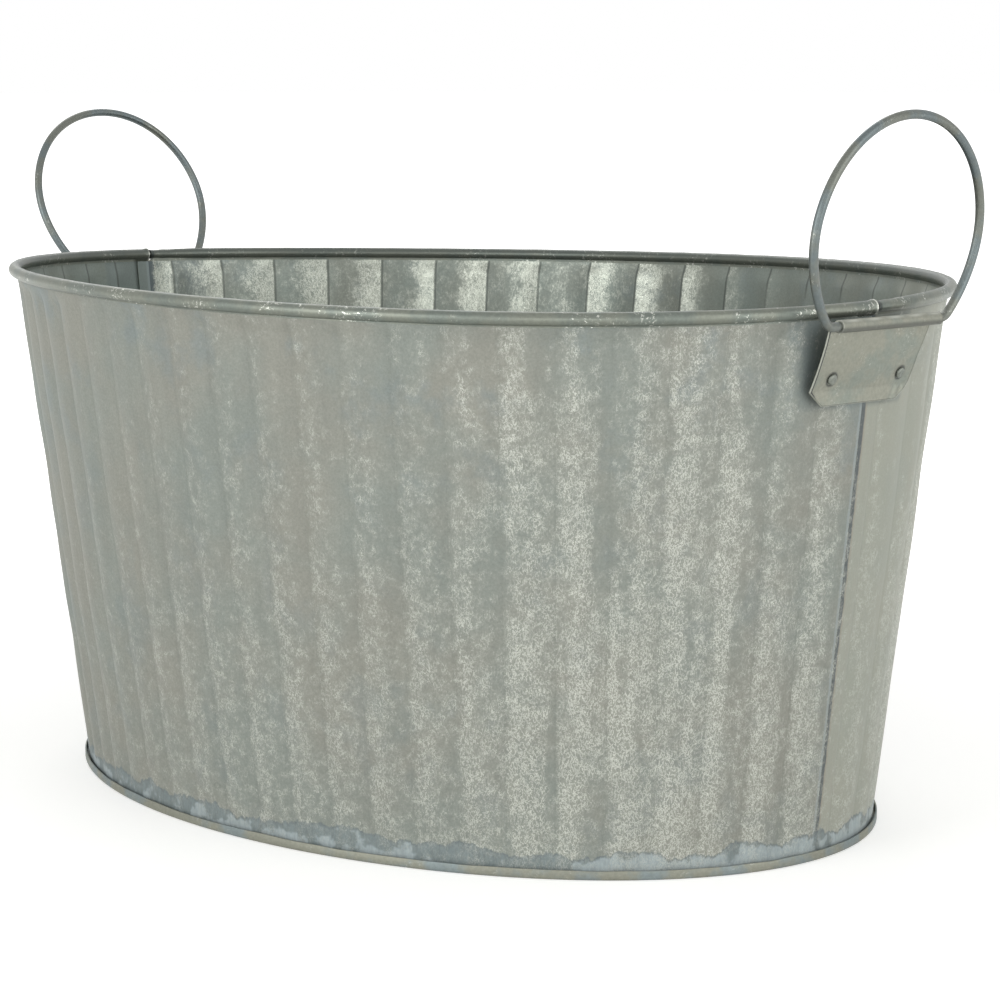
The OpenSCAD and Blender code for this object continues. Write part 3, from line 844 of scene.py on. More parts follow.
def make_lug(name, turned, seed):
    """One lug. The left one is the right one turned half round the tub's middle."""
    plate_outer, plate_inner, y, depth, inside = plate_faces(seed)
    barrel_outer, barrel_inner = barrel_faces(seed)
    outer = np.concatenate([barrel_outer, plate_outer], 1)
    inner = np.concatenate([barrel_inner, plate_inner], 1)
    on_barrel = (lug_y[:-1] >= BARREL_LOW - HAIR) & (lug_y[1:] <= BARREL_HIGH + HAIR)
    on_plate = lug_y[1:] <= PLATE_HIGH + HAIR
    row = np.arange(outer.shape[1] - 1)[None]
    cells = np.where(row <= CURL_ROWS, on_barrel[:, None], on_plate[:, None])
    if turned:
        outer, inner = outer * HALF_TURN, inner * HALF_TURN
    piece, used = sheet_object(name, outer, inner, cells)
    marks = {
        # Painted shade on the barrel and the plate.
        "painted_shade": [barrel_shade(lug_y, curl), plate_shade(y, depth, inside)],
        # Painted highlights on the barrel and on the plate's cut edge.
        "painted_highlight": [barrel_highlight(lug_y, curl), EDGE_SHINE * ease(1 - inside / EDGE_WIDTH)],
    }
    for field, values in marks.items():
        store(piece, field, np.tile(np.concatenate(values, 1).ravel(), 2)[used])
    sharpen(piece, degrees=34)
    return piece


right_lug = make_lug("right_lug_plate", turned=False, seed=41)
left_lug = make_lug("left_lug_plate", turned=True, seed=45)
print("a lug:", triangles(right_lug), "triangles")

# %% [markdown]
# A rivet stands square to the plate, so its three directions come from the plate's own slope and
# from how much it is bowed there.

# %% Place and directions of a rivet
def rivet_frame(y):
    """A rivet's place on the plate and its three directions, the last one square to the plate."""
    y = np.array(y)
    slope = (plate_x(y, np.array(RIVET_DEPTH - 1)) - plate_x(y, np.array(RIVET_DEPTH + 1))) / 2
    z = np.array(hinge[2] - RIVET_DEPTH)
    size = foot_size + (top_size - foot_size) * ((z - BASE_SHEET) / (rim_z - BASE_SHEET))
    turn = (1 - PLATE_FLATNESS) * math.atan2(*outwards(np.arcsin(y / size[1]))[::-1])
    axis = np.array([math.cos(turn), math.sin(turn), -slope])
    axis = axis / np.linalg.norm(axis)
    side = np.cross([0, 0, 1], axis)
    side = side / np.linalg.norm(side)
    origin = np.array([plate_x(y, np.array(RIVET_DEPTH)) + LUG_SHEET, y, z])
    return origin, side, np.cross(axis, side), axis


print("the rivets stand at", [rivet_frame(y)[0].round(2).tolist() for y in RIVET_Y], "mm")

# %% [markdown]
# A rivet is a shank with two heads, and its outer one was closed with a few hammer blows: a low
# dome with flats and an off-centre dimple. It is a profile carried round an axis, with the blows
# added as waves that depend on the angle. Its grip is the thickness between its heads.

# %% Rivets
HEAD_R, HEAD_H, HEAD_EDGE = 2.0, 0.9, 0.97
HEAD_ROWS, DOME_POWER = 12, 0.75
SHANK_R = 1.2
RIVET_GAP = 0.05
RIVET_SIDES = 40
RIVET_GRIP = (6.24, 5.48)
FLATS, ROUND_FLATS, INNER_FLATS = 0.06, 0.05, 0.3
DIMPLE, DIMPLE_SPREAD, DIMPLE_AT = 0.42, 0.75, (0.35, -0.25)
HEAD_LOWEST = -0.25


def make_rivet(name, y, grip, turned, seed):
    """One rivet: radius and height along its axis, from the outer head to the inner one."""
    head = np.linspace(0, 1, HEAD_ROWS) * math.pi / 2
    dome_r = HEAD_R * np.sin(head)
    dome_h = HEAD_H * np.cos(head) ** DOME_POWER
    edge = HEAD_R * HEAD_EDGE
    radius = np.concatenate([dome_r, [edge, SHANK_R, SHANK_R, edge], dome_r[::-1]])
    height = np.concatenate([dome_h + RIVET_GAP, [RIVET_GAP, RIVET_GAP, -grip, -grip], -grip - dome_h[::-1]])
    angle = np.linspace(0, 2 * math.pi, RIVET_SIDES, endpoint=False)[:, None]
    rng = np.random.default_rng(seed)
    lobes = sum(rng.uniform(0.2, 0.5) * np.cos(k * angle + rng.uniform(0, 6)) for k in (2, 3, 5))
    outer_head = np.arange(len(radius)) < HEAD_ROWS
    r = radius * (1 - ROUND_FLATS * np.where(outer_head, 1, INNER_FLATS) * (1 + lobes))
    side, lift = r * np.cos(angle), r * np.sin(angle)
    dimple = np.exp(-(((side - DIMPLE_AT[0]) ** 2 + (lift - DIMPLE_AT[1]) ** 2) / DIMPLE_SPREAD))
    blows = DIMPLE * dimple + FLATS * (1 + lobes) * (radius / HEAD_R)
    h = np.where(outer_head, np.maximum(height - blows, HEAD_LOWEST), height)
    origin, across, up, axis = rivet_frame(y)
    points = origin + side[..., None] * across + lift[..., None] * up + h[..., None] * axis
    if turned:
        points = points * HALF_TURN
    quads = ring_quads(RIVET_SIDES, len(radius))[:, ::-1]
    piece, _ = new_object(name, points.reshape(-1, 3), quads)
    close_up(piece)
    sharpen(piece, degrees=50)
    return piece


rivets = {}
for number, (y, grip) in enumerate(zip(RIVET_Y, RIVET_GRIP)):
    for side, turned in (("right", False), ("left", True)):
        name = f"{side}_rivet_{'ab'[number]}"
        rivets[name] = make_rivet(name, y, grip, turned, 50 + number + 2 * turned)
print("rivets:", len(rivets), "with grips of", RIVET_GRIP, "mm")

# %% [markdown]
# Each handle is one length of drawn wire: a loop, a tight bend at each foot, and two straight ends
# that meet inside the barrel. Its path is arcs and lines that run into each other, in the plane of
# the loop, and a circle is carried along it. Bending by hand left the loop a little off round.

# %% Handle path
LOOP_R = 41.0
LOOP_RISE = 28.0
BEND_R = 5.0
WIRE_R = 1.575
WIRE_END = 1.0
BEND_POINTS, LOOP_POINTS = 12, 150
WIDER, LOWER = 1.25, 0.35
OFF_ROUND, OFF_LENGTHS, LOOP_LENGTH = 0.12, (90, 260), 300
TRUE_SHARE = 0.2
hinge_half = math.sqrt((LOOP_R - BEND_R) ** 2 - (LOOP_RISE - BEND_R) ** 2)
loop_end = math.atan2(BEND_R - LOOP_RISE, hinge_half)


def arc(centre, radius, start, end, count):
    """Points on a circle from one angle to another."""
    a = np.linspace(start, end, count)
    return np.stack([centre[0] + radius * np.cos(a), centre[1] + radius * np.sin(a)], -1)


def handle_path(seed):
    """The wire's line in the loop's plane: half of the straight ends, the bends and the loop, which
    stands out a little at its sides and in at its top, and is true near the bends."""
    straight = np.stack([np.linspace(WIRE_END, hinge_half, BEND_POINTS), np.zeros(BEND_POINTS)], -1)
    bend = arc((hinge_half, BEND_R), BEND_R, -math.pi / 2, loop_end, BEND_POINTS)
    loop = arc((0, LOOP_RISE), LOOP_R, loop_end, math.pi - loop_end, LOOP_POINTS)
    share = np.linspace(0, 1, LOOP_POINTS)
    calm = ease(share / TRUE_SHARE) * ease((1 - share) / TRUE_SHARE)
    around = np.linspace(loop_end, math.pi - loop_end, LOOP_POINTS)
    off = WIDER * np.cos(around) ** 2 - LOWER * np.sin(around) ** 2
    off = off + OFF_ROUND * inwards_only(dents(share * LOOP_LENGTH, 0 * share, *OFF_LENGTHS, seed))
    loop = loop + (calm * off)[:, None] * (loop - [0, LOOP_RISE]) / LOOP_R
    right = np.concatenate([straight, bend[1:]])
    return np.concatenate([right, loop[1:-1], right[::-1] * [-1, 1]])


wire_steps = np.linalg.norm(np.diff(handle_path(61), axis=0), axis=1)
print("a handle's wire is", round(wire_steps.sum(), 1), "mm long")

# %% [markdown]
# The tube's sides follow the path without twisting: one direction is square to the loop's plane
# all the way, and the other lies in that plane. Both ends close over a small round shoulder.

# %% Handles
WIRE_SIDES = 24
SHOULDER_R, SHOULDER_Y = np.array([0, 0.55, 0.85]), np.array([0, 0.05, 0.2])
RIGHT_LEAN, LEFT_LEAN = 8.2, 20.6


def tube(line, up, radius, sides):
    """Circles of that radius along a line of points, with one direction kept towards up."""
    along = np.gradient(line, axis=0)
    along = along / np.linalg.norm(along, axis=1, keepdims=True)
    across = np.cross(along, up)
    across = across / np.linalg.norm(across, axis=1, keepdims=True)
    third = np.cross(across, along)
    angle = np.linspace(0, 2 * math.pi, sides, endpoint=False)[:, None, None]
    return line + radius[:, None] * (np.cos(angle) * across + np.sin(angle) * third)


def make_handle(name, lean, turned, seed):
    """One wire handle, leaning outwards from upright by that many degrees."""
    path = handle_path(seed)
    lean = math.radians(lean)
    line = np.stack([path[:, 1] * math.sin(lean), path[:, 0], path[:, 1] * math.cos(lean)], -1) + hinge
    plane = np.array([math.cos(lean), 0, -math.sin(lean)])
    radius = np.full(len(line), WIRE_R)
    radius[:3] *= SHOULDER_R
    radius[-3:] *= SHOULDER_R[::-1]
    line[:3, 1] = line[0, 1] + SHOULDER_Y
    line[-3:, 1] = line[-1, 1] - SHOULDER_Y[::-1]
    points = tube(line, plane, radius, WIRE_SIDES)
    if turned:
        points = points * HALF_TURN
    piece, _ = new_object(name, points.reshape(-1, 3), ring_quads(WIRE_SIDES, len(line)))
    close_up(piece)
    return piece


right_wire = make_handle("right_wire_handle", RIGHT_LEAN, turned=False, seed=61)
left_wire = make_handle("left_wire_handle", LEFT_LEAN, turned=True, seed=62)
print("a handle:", triangles(right_wire), "triangles")

# %% [markdown]
# The stiffening wire hardly shows, only from below through the narrow slot of the roll, and it is
# painted dark all over as the shade in that slot. It is a circle carried along a ring that rises and
# dips with the rim.

# %% Rim wire
CORE_RINGS, CORE_SIDES = 480, 12
CORE_R = 1.58
core_t = turn_at(np.linspace(-half_arc, half_arc, CORE_RINGS, endpoint=False))
around = np.linspace(0, 2 * math.pi, CORE_SIDES, endpoint=False)
core_out = CORE_R * np.cos(around)
core_xy = oval(rim_size, core_t)[:, None] + outwards(core_t)[:, None] * core_out[None, :, None]
core_z = rim_z + warp(core_t)[:, None] + CORE_R * np.sin(around)
core = np.concatenate([core_xy, core_z[..., None]], -1)
core = np.concatenate([core, core[:, :1]], 1)
rim_core, _ = new_object("rim_core_wire", core.reshape(-1, 3), ring_quads(CORE_RINGS, core.shape[1]))
close_up(rim_core)
# Painted shade over the whole wire, so the slot of the roll looks dark.
store(rim_core, "painted_shade", np.ones(len(rim_core.data.vertices)))
print("rim wire:", triangles(rim_core), "triangles")

# %% [markdown]
# Materials are small networks of nodes. One function adds a node with its settings and its inputs,
# which are plain numbers or other nodes, and two short ones turn hex colours and real sizes into
# the numbers that the nodes want. Two settings that come back again and again have a name: a smooth
# step between two levels, and a mix of two colours.

# %% Helpers for materials
def node(tree, kind, inputs=(), **settings):
    """Adds a node. Settings are its properties. Inputs pair a socket's name or number with a value,
    an output, or a node whose first output in use is meant."""
    made = tree.nodes.new(kind)
    for name, value in settings.items():
        setattr(made, name, value)
    for key, value in dict(inputs).items():
        if isinstance(value, bpy.types.Node):
            value = next(out for out in value.outputs if out.enabled)
        if isinstance(value, bpy.types.NodeSocket):
            tree.links.new(value, made.inputs[key])
        else:
            made.inputs[key].default_value = value
    return made


def colour(code):
    """An sRGB hex value as linear red, green, blue and alpha."""
    parts = [int(code[i:i + 2], 16) / 255 for i in (1, 3, 5)]
    return [p / 12.92 if p <= 0.04045 else ((p + 0.055) / 1.055) ** 2.4 for p in parts] + [1]


def per(size):
    """The scale of a pattern whose lumps are about that many millimetres across."""
    return 1 / (size * MM)


MATH, RANGE, MIX, TINT = "ShaderNodeMath", "ShaderNodeMapRange", "ShaderNodeMix", "ShaderNodeHueSaturation"
NOISE, CELLS, MAPPING = "ShaderNodeTexNoise", "ShaderNodeTexVoronoi", "ShaderNodeMapping"
PLACE, STORED, AXES = "ShaderNodeTexCoord", "ShaderNodeAttribute", "ShaderNodeSeparateXYZ"
FACTOR, A, B = 0, 6, 7
FROM, TO, OUT_FROM, OUT_TO = 1, 2, 3, 4
SMOOTH = {"interpolation_type": "SMOOTHSTEP"}
COLOURS = {"data_type": "RGBA"}
print("mid grey as linear:", [round(c, 3) for c in colour("#808080")])

# %% [markdown]
# Galvanised sheet is steel dipped in molten zinc. Outdoors the zinc dulls to a soft grey that is
# slightly warm in some places and cool in others. The clouds of tone are wide, and rain draws faint
# streaks down the wall, so the same noise is used at two sizes, one of them stretched upwards.

# %% Ground tone of weathered zinc
CLOUD, DRIFT, STREAK, GRAIN = 45, 26, 6, 0.8


def zinc_ground(tree, place, tones):
    """Wide clouds of two tones, a cooler third one high on the wall, soft streaks and fine grain."""
    warm, cool, blue = [colour(tone) for tone in tones]
    streaky = node(tree, MAPPING, {"Vector": place, "Scale": (1, 1, 0.08)})
    cloud = node(tree, NOISE, {"Vector": place, "Scale": per(CLOUD), "Detail": 3, "Roughness": 0.55})
    cloudy = node(tree, RANGE, {0: cloud, FROM: 0.4, TO: 0.62})
    body = node(tree, MIX, {FACTOR: cloudy, A: warm, B: cool}, **COLOURS)
    drift = node(tree, NOISE, {"Vector": place, "Scale": per(DRIFT), "Detail": 4, "Roughness": 0.62})
    drifts = node(tree, RANGE, {0: drift, FROM: 0.5, TO: 0.66, OUT_TO: 0.6}, **SMOOTH)
    height = node(tree, AXES, {0: place}).outputs[2]
    high = node(tree, RANGE, {0: height, FROM: 0.12, TO: 0.185, OUT_FROM: 0.45, OUT_TO: 1})
    blueness = node(tree, MATH, {0: drifts, 1: high}, operation="MULTIPLY")
    body = node(tree, MIX, {FACTOR: blueness, A: body, B: blue}, **COLOURS)
    streak = node(tree, NOISE, {"Vector": streaky, "Scale": per(STREAK), "Detail": 3, "Roughness": 0.6})
    grain = node(tree, NOISE, {"Vector": place, "Scale": per(GRAIN), "Detail": 2, "Roughness": 0.7})
    wide = node(tree, RANGE, {0: streak, FROM: 0.3, TO: 0.7, OUT_FROM: 0.94, OUT_TO: 1.05})
    fine = node(tree, RANGE, {0: grain, FROM: 0.3, TO: 0.7, OUT_FROM: 0.89, OUT_TO: 1.1})
    value = node(tree, MATH, {0: wide, 1: fine}, operation="MULTIPLY")
    return node(tree, TINT, {"Value": value, "Color": body})


print("clouds, drifts, streaks and grain, mm:", CLOUD, DRIFT, STREAK, GRAIN)

# %% [markdown]
# Zinc freezes in a patchwork of feathery crystals. After years outside they show as pale flecks that
# crowd in patches, with plain upright bands between. The flecks are the zinc's own, but outside they
# lie on the side of each flute that faces the key light, as a painted glint, thinly at the tub's left
# end and thickly near the right one, where the wall turns to the lamps, which is partly painted glint
# too. How many there are at a place is a sum of levels: one along the tub, one across each flute, one
# up the wall and one beside the seam.
# Places in these nodes are in metres, as Object coordinates are, and the stored distances are in
# millimetres.

# %% How thickly flecks lie outside
BAND, WAVER = 11, 12


def crowding(tree, place):
    """How thickly flecks lie, from 0 to 1: more towards the right-hand end, where the wall turns to the
    lamps, partly as a painted glint, in upright bands there, and less again beside the seam."""
    axes = node(tree, AXES, {0: place})
    along = node(tree, RANGE, {0: axes.outputs[0], FROM: 0.09, TO: 0.145}, **SMOOTH)
    aside = node(tree, MATH, {0: axes.outputs[1]}, operation="ABSOLUTE")
    away = node(tree, RANGE, {0: aside, FROM: 0.034, TO: 0.052, OUT_FROM: 0.45}, **SMOOTH)
    banded = node(tree, MAPPING, {"Vector": place, "Scale": (1, 1, 0.06)})
    band = node(tree, NOISE, {"Vector": banded, "Scale": per(BAND), "Detail": 1})
    bands = node(tree, RANGE, {0: band, FROM: 0.38, TO: 0.5}, **SMOOTH)
    thick = node(tree, MATH, {0: along, 1: away}, operation="MULTIPLY")
    return node(tree, MATH, {0: thick, 1: bands}, operation="MULTIPLY")


def outside_flecks_and_glint(tree, place):
    """How many flecks lie outside: more to the right, and on the side of a flute after its valley, the side
    that faces the key light, as a painted glint.
    """
    along = node(tree, AXES, {0: place}).outputs[0]
    base = node(tree, RANGE, {0: along, FROM: -0.13, TO: 0.05, OUT_FROM: -0.25, OUT_TO: -0.165})
    # The flute's side that faces the key light gets the flecks: a painted glint.
    phase = node(tree, STORED, attribute_name="in_flute").outputs["Fac"]
    waver = node(tree, NOISE, {"Vector": place, "Scale": per(WAVER), "Detail": 3})
    moved = node(tree, MATH, {0: waver, 1: 0.5, 2: phase}, operation="MULTIPLY_ADD")
    rising = node(tree, RANGE, {0: moved, FROM: 0.2, TO: 0.4}, **SMOOTH)
    after = node(tree, RANGE, {0: moved, FROM: 0.5, TO: 1.1, OUT_FROM: 1, OUT_TO: 0})
    grows = node(tree, RANGE, {0: along, FROM: -0.12, TO: 0.0, OUT_FROM: 0.02, OUT_TO: 0.105})
    share = node(tree, MATH, {0: rising, 1: after}, operation="MULTIPLY")
    band = node(tree, MATH, {0: share, 1: grows, 2: base}, operation="MULTIPLY_ADD")
    height = node(tree, AXES, {0: place}).outputs[2]
    high = node(tree, RANGE, {0: height, FROM: 0.05, TO: 0.185, OUT_FROM: 0.02, OUT_TO: -0.1})
    both = node(tree, MATH, {0: band, 1: high}, operation="ADD")
    across = node(tree, AXES, {0: place}).outputs[1]
    past_seam = node(tree, RANGE, {0: across, FROM: 0.0, TO: 0.003, OUT_TO: -0.07})
    from_seam = node(tree, STORED, attribute_name="from_seam").outputs["Fac"]
    beside = node(tree, RANGE, {0: from_seam, FROM: -80, TO: -50})
    both = node(tree, MATH, {0: past_seam, 1: beside, 2: both}, operation="MULTIPLY_ADD")
    return node(tree, MATH, {0: crowding(tree, place), 1: 0.12, 2: both}, operation="MULTIPLY_ADD")


print("upright bands and their waver, mm:", BAND, WAVER)

# %% [markdown]
# Inside, the back panel's flecks lie beside each ridge between two scoops, on the side that faces
# the light, as a painted glint. In the tub's left part that is the other side of the ridge, so the
# place within a flute is turned round there.

# %% How thickly flecks lie inside
SIDE_CHANGES_AT = -80 * MM


def inside_flecks_and_glint(tree, place):
    """How many flecks lie inside: many on the back panel but for its right-hand end, where fewer are
    placed as painted shade. They lie beside each ridge, at the left of it in the tub's left part and
    at the right of it in the rest, on the side that faces the light, as a painted glint."""
    axes = node(tree, AXES, {0: place})
    left = node(tree, RANGE, {0: axes.outputs[1], FROM: -0.003, TO: 0.003, OUT_FROM: -0.9, OUT_TO: -0.16})
    # Fewer flecks at the right-hand end, as painted shade.
    right = node(tree, RANGE, {0: axes.outputs[0], FROM: -0.03, TO: 0.06, OUT_TO: -0.5})
    phase = node(tree, STORED, attribute_name="in_flute").outputs["Fac"]
    turned = node(tree, MATH, {0: axes.outputs[0], 1: SIDE_CHANGES_AT}, operation="LESS_THAN")
    sided = node(tree, MATH, {0: phase, 1: turned}, operation="SUBTRACT")
    sided = node(tree, MATH, {0: sided}, operation="ABSOLUTE")
    waver = node(tree, NOISE, {"Vector": place, "Scale": per(WAVER), "Detail": 4})
    moved = node(tree, MATH, {0: waver, 1: 0.9, 2: sided}, operation="MULTIPLY_ADD")
    beside = node(tree, RANGE, {0: moved, FROM: 0.75, TO: 1.3, OUT_TO: 0.27}, **SMOOTH)
    both = node(tree, MATH, {0: left, 1: right}, operation="ADD")
    return node(tree, MATH, {0: both, 1: beside}, operation="ADD")


print("the flecked side changes", round(SIDE_CHANGES_AT / MM), "mm from the middle")

# %% [markdown]
# Painted shade draws the flutes: faintly in the valleys outside, and clearly along the ridges
# inside, where it is only short ticks under the rim in the tub's right part. The distance to the
# nearest valley, which the panels store, gives both.

# %% Lines along the flutes
VALLEY_WIDTH, VALLEY_DARK = 1.2, 0.08
RIDGE_WIDTH, RIDGE_CORE, RIDGE_DARK = 0.75, 0.3, 0.8


def valley_shade(tree, place):
    """How dark the painted shade is in the valleys outside."""
    valley = node(tree, STORED, attribute_name="from_valley").outputs["Fac"]
    return node(tree, RANGE, {0: valley, FROM: VALLEY_WIDTH, TO: 0.0, OUT_TO: VALLEY_DARK})


def ridge_shade(tree, place):
    """How dark the painted shade along the ridges inside is: thin lines, which are short ticks under the rim
    at the right.
    """
    valley = node(tree, STORED, attribute_name="from_valley").outputs["Fac"]
    line = node(tree, RANGE, {0: valley, FROM: RIDGE_WIDTH, TO: RIDGE_CORE, OUT_TO: RIDGE_DARK})
    axes = node(tree, AXES, {0: place})
    high = node(tree, RANGE, {0: axes.outputs[2], FROM: 0.178, TO: 0.184})
    left = node(tree, RANGE, {0: axes.outputs[0], FROM: 0.035, TO: 0.01})
    seen = node(tree, MATH, {0: high, 1: left}, operation="MAXIMUM")
    return node(tree, MATH, {0: line, 1: seen}, operation="MULTIPLY")


print("lines are", VALLEY_WIDTH, "mm wide outside and", RIDGE_WIDTH, "mm inside")

# %% [markdown]
# A fleck is a soft pale patch with thin bright threads in it, the edges of the crystals. Patches are
# a noise that passes a level which the density lowers, and threads follow the middle level of a
# finer noise, where the patches are thick. The real edges are finer than the picture can show, so
# the threads are drawn as coarse as they need to be.

# %% Pale flecks
PATCH, STROKE, THREAD = 4, 0.8, 1.1


def pale_flecks(tree, place, density):
    """Soft pale patches, where a patchy noise, a fine one and the density add up to more than a level,
    and thin bright threads inside the thick ones, along the middle level of a fine noise."""
    patch = node(tree, NOISE, {"Vector": place, "Scale": per(PATCH), "Detail": 4, "Roughness": 0.7})
    upright = node(tree, MAPPING, {"Vector": place, "Scale": (1, 1, 0.6)})
    fine = node(tree, NOISE, {"Vector": upright, "Scale": per(STROKE), "Detail": 3, "Roughness": 0.75})
    dense = node(tree, MATH, {0: patch, 1: 0.65, 2: density}, operation="MULTIPLY_ADD")
    total = node(tree, MATH, {0: fine, 1: dense}, operation="ADD")
    soft = node(tree, RANGE, {0: total, FROM: 0.6, TO: 1.06}, **SMOOTH)
    thread = node(tree, NOISE, {"Vector": upright, "Scale": per(THREAD), "Detail": 3, "Roughness": 0.7})
    level = node(tree, MATH, {0: thread, 1: 0.5}, operation="SUBTRACT")
    level = node(tree, MATH, {0: level}, operation="ABSOLUTE")
    threads = node(tree, RANGE, {0: level, FROM: 0.045, TO: 0.012})
    cores = node(tree, RANGE, {0: dense, FROM: 0.12, TO: 0.42}, **SMOOTH)
    return soft, node(tree, MATH, {0: threads, 1: cores}, operation="MULTIPLY")


print("patches, strokes and threads, mm:", PATCH, STROKE, THREAD)

# %% [markdown]
# Where the base pan was soldered on, flux and rain left a wash: a dark blue-grey band with a ragged
# upper edge and a darker outline, and chalky pale patches low down. It is drawn by height over the
# pan's edge, against an upper limit that wanders round the tub.

# %% Wash over the base
RAGGED, CHALK, SPECK = 19, 9, 1.4
LEAST_WASH, CHALK_TOP, CHALK_FADE = 2.5, 6, 5


def foot_wash(tree, place, body, tallest):
    """The sheet's colour with the wash over it, and how much wash there is."""
    axes = node(tree, AXES, {0: place})
    level = node(tree, MAPPING, {"Vector": place, "Scale": (1, 1, 0.3)})
    ragged = node(tree, NOISE,
        {"Vector": level, "Scale": per(RAGGED), "Detail": 6, "Roughness": 0.66, "Distortion": 0.2})
    limit = node(tree, RANGE, {0: ragged, FROM: 0.32, TO: 0.68,
        OUT_FROM: (PAN_EDGE_H + LEAST_WASH) * MM, OUT_TO: (PAN_EDGE_H + tallest) * MM})
    depth = node(tree, MATH, {0: limit, 1: axes.outputs[2]}, operation="SUBTRACT")
    wash = node(tree, RANGE, {0: depth, FROM: -0.1 * MM, TO: 0.35 * MM, OUT_TO: 0.85})
    outline = node(tree, RANGE, {0: depth, FROM: 0.5 * MM, TO: 1.3 * MM, OUT_FROM: 1, OUT_TO: 0})
    chalk = node(tree, NOISE, {"Vector": place, "Scale": per(CHALK), "Detail": 3, "Roughness": 0.55})
    top = (PAN_EDGE_H + CHALK_TOP) * MM
    low = node(tree, RANGE, {0: axes.outputs[2], FROM: top, TO: top - CHALK_FADE * MM, OUT_TO: 0.14})
    right = node(tree, RANGE, {0: axes.outputs[0], FROM: 0.13, TO: 0.16, OUT_TO: 0.16})
    more = node(tree, MATH, {0: low, 1: right}, operation="ADD")
    sum_of = node(tree, MATH, {0: chalk, 1: more}, operation="ADD")
    chalky = node(tree, RANGE, {0: sum_of, FROM: 0.6, TO: 0.7}, **SMOOTH)
    tone = node(tree, MIX, {FACTOR: chalky, A: colour("#707c7e"), B: colour("#99a5a8")}, **COLOURS)
    tone = node(tree, MIX, {FACTOR: outline, A: tone, B: colour("#667174")}, **COLOURS)
    upright = node(tree, MAPPING, {"Vector": place, "Scale": (1, 1, 0.3)})
    speck = node(tree, NOISE, {"Vector": upright, "Scale": per(SPECK), "Detail": 4, "Roughness": 0.75})
    value = node(tree, RANGE, {0: speck, FROM: 0.3, TO: 0.7, OUT_FROM: 0.78, OUT_TO: 1.18})
    tone = node(tree, TINT, {"Value": value, "Color": tone})
    return node(tree, MIX, {FACTOR: wash, A: body, B: tone}, **COLOURS), wash


print("wash's ragged edge, chalk and specks, mm:", RAGGED, CHALK, SPECK)

# %% [markdown]
# Down each seam the front panel's edge is wiped pale and bluish, and the back panel beside it is a
# little paler at the right. There dark flux and the painted shadow of the front panel's edge run in
# a thin wavering line with a faint trace of rust. The panels store the distance from the seam, above
# zero on the front one and below zero on the back one. A blue-grey painted shade hugs the lug, and
# small rings show where drops of flux dried.

# %% Marks at the seam, round the lug and from drops
FLUX_WAVER, DROP, DROP_RING = 5, 24, 0.05


def seam_marks(tree, place, body):
    """Pale strip, dark line of flux and painted shadow, and rust beside the seam, each where the stored
    distance is in its range.
    """
    from_seam = node(tree, STORED, attribute_name="from_seam").outputs["Fac"]
    waver = node(tree, NOISE, {"Vector": place, "Scale": per(FLUX_WAVER), "Detail": 3})
    shift = node(tree, RANGE, {0: waver, FROM: 0.3, TO: 0.7, OUT_FROM: -0.25, OUT_TO: 0.25})
    moved = node(tree, MATH, {0: from_seam, 1: shift}, operation="ADD")
    strip = node(tree, RANGE, {0: moved, FROM: 1.6, TO: 1.0, OUT_TO: 0.5})
    front = node(tree, MATH, {0: from_seam, 1: 0.0}, operation="GREATER_THAN")
    on_front = node(tree, MATH, {0: strip, 1: front}, operation="MULTIPLY")
    body = node(tree, MIX, {FACTOR: on_front, A: body, B: colour("#97a1a2")}, **COLOURS)
    behind = node(tree, MATH, {0: from_seam, 1: 0.0}, operation="LESS_THAN")
    along = node(tree, AXES, {0: place}).outputs[0]
    paler = node(tree, RANGE, {0: along, FROM: 0.07, TO: 0.17, OUT_TO: 0.5})
    paler = node(tree, MATH, {0: paler, 1: behind}, operation="MULTIPLY")
    body = node(tree, MIX, {FACTOR: paler, A: body, B: colour("#a4a698")}, **COLOURS)
    # Dark line beside the front panel's edge: flux, and the painted shadow of that edge.
    line = node(tree, RANGE, {0: moved, FROM: -3.1, TO: -2.6, OUT_TO: 0.85})
    dark = node(tree, MATH, {0: line, 1: behind}, operation="MULTIPLY")
    trace = node(tree, RANGE, {0: moved, FROM: -4.2, TO: -3.2, OUT_TO: 0.35})
    rust = node(tree, MATH, {0: trace, 1: behind}, operation="MULTIPLY")
    body = node(tree, MIX, {FACTOR: rust, A: body, B: colour("#8c7b6c")}, **COLOURS)
    return node(tree, MIX, {FACTOR: dark, A: body, B: colour("#3f4a4f")}, **COLOURS)


def lug_shade_and_drops(tree, place, body):
    """A blue-grey painted shade round the lug's plate, and small dark rings of dried drops here and there.
    """
    from_lug = node(tree, STORED, attribute_name="from_lug").outputs["Fac"]
    # Painted shade on the wall beside the lug's plate.
    shade = node(tree, RANGE, {0: from_lug, FROM: 2.6, TO: 0.2, OUT_TO: 0.4}, **SMOOTH)
    body = node(tree, MIX, {FACTOR: shade, A: body, B: colour("#5f6b6c")}, **COLOURS)
    drops = node(tree, CELLS, {"Vector": place, "Scale": per(DROP)})
    off = node(tree, MATH, {0: drops, 1: DROP_RING}, operation="SUBTRACT")
    ring = node(tree, RANGE, {0: node(tree, MATH, {0: off}, operation="ABSOLUTE"), FROM: 0.018, TO: 0.008})
    rare = node(tree, RANGE, {0: drops.outputs["Color"], FROM: 0.62, TO: 0.64, OUT_TO: 0.4})
    amount = node(tree, MATH, {0: ring, 1: rare}, operation="MULTIPLY")
    return node(tree, MIX, {FACTOR: amount, A: body, B: colour("#5f655f")}, **COLOURS)


print("waver of the flux and spacing of the drops, mm:", FLUX_WAVER, DROP)

# %% [markdown]
# The two faces of the wall share one recipe. Outside, the patina is matt and hides the metal.
# Inside, out of the rain, the zinc still shines, so each scoop of a flute gleams on the side that
# faces a light, and its tones are a little darker, as painted shade.

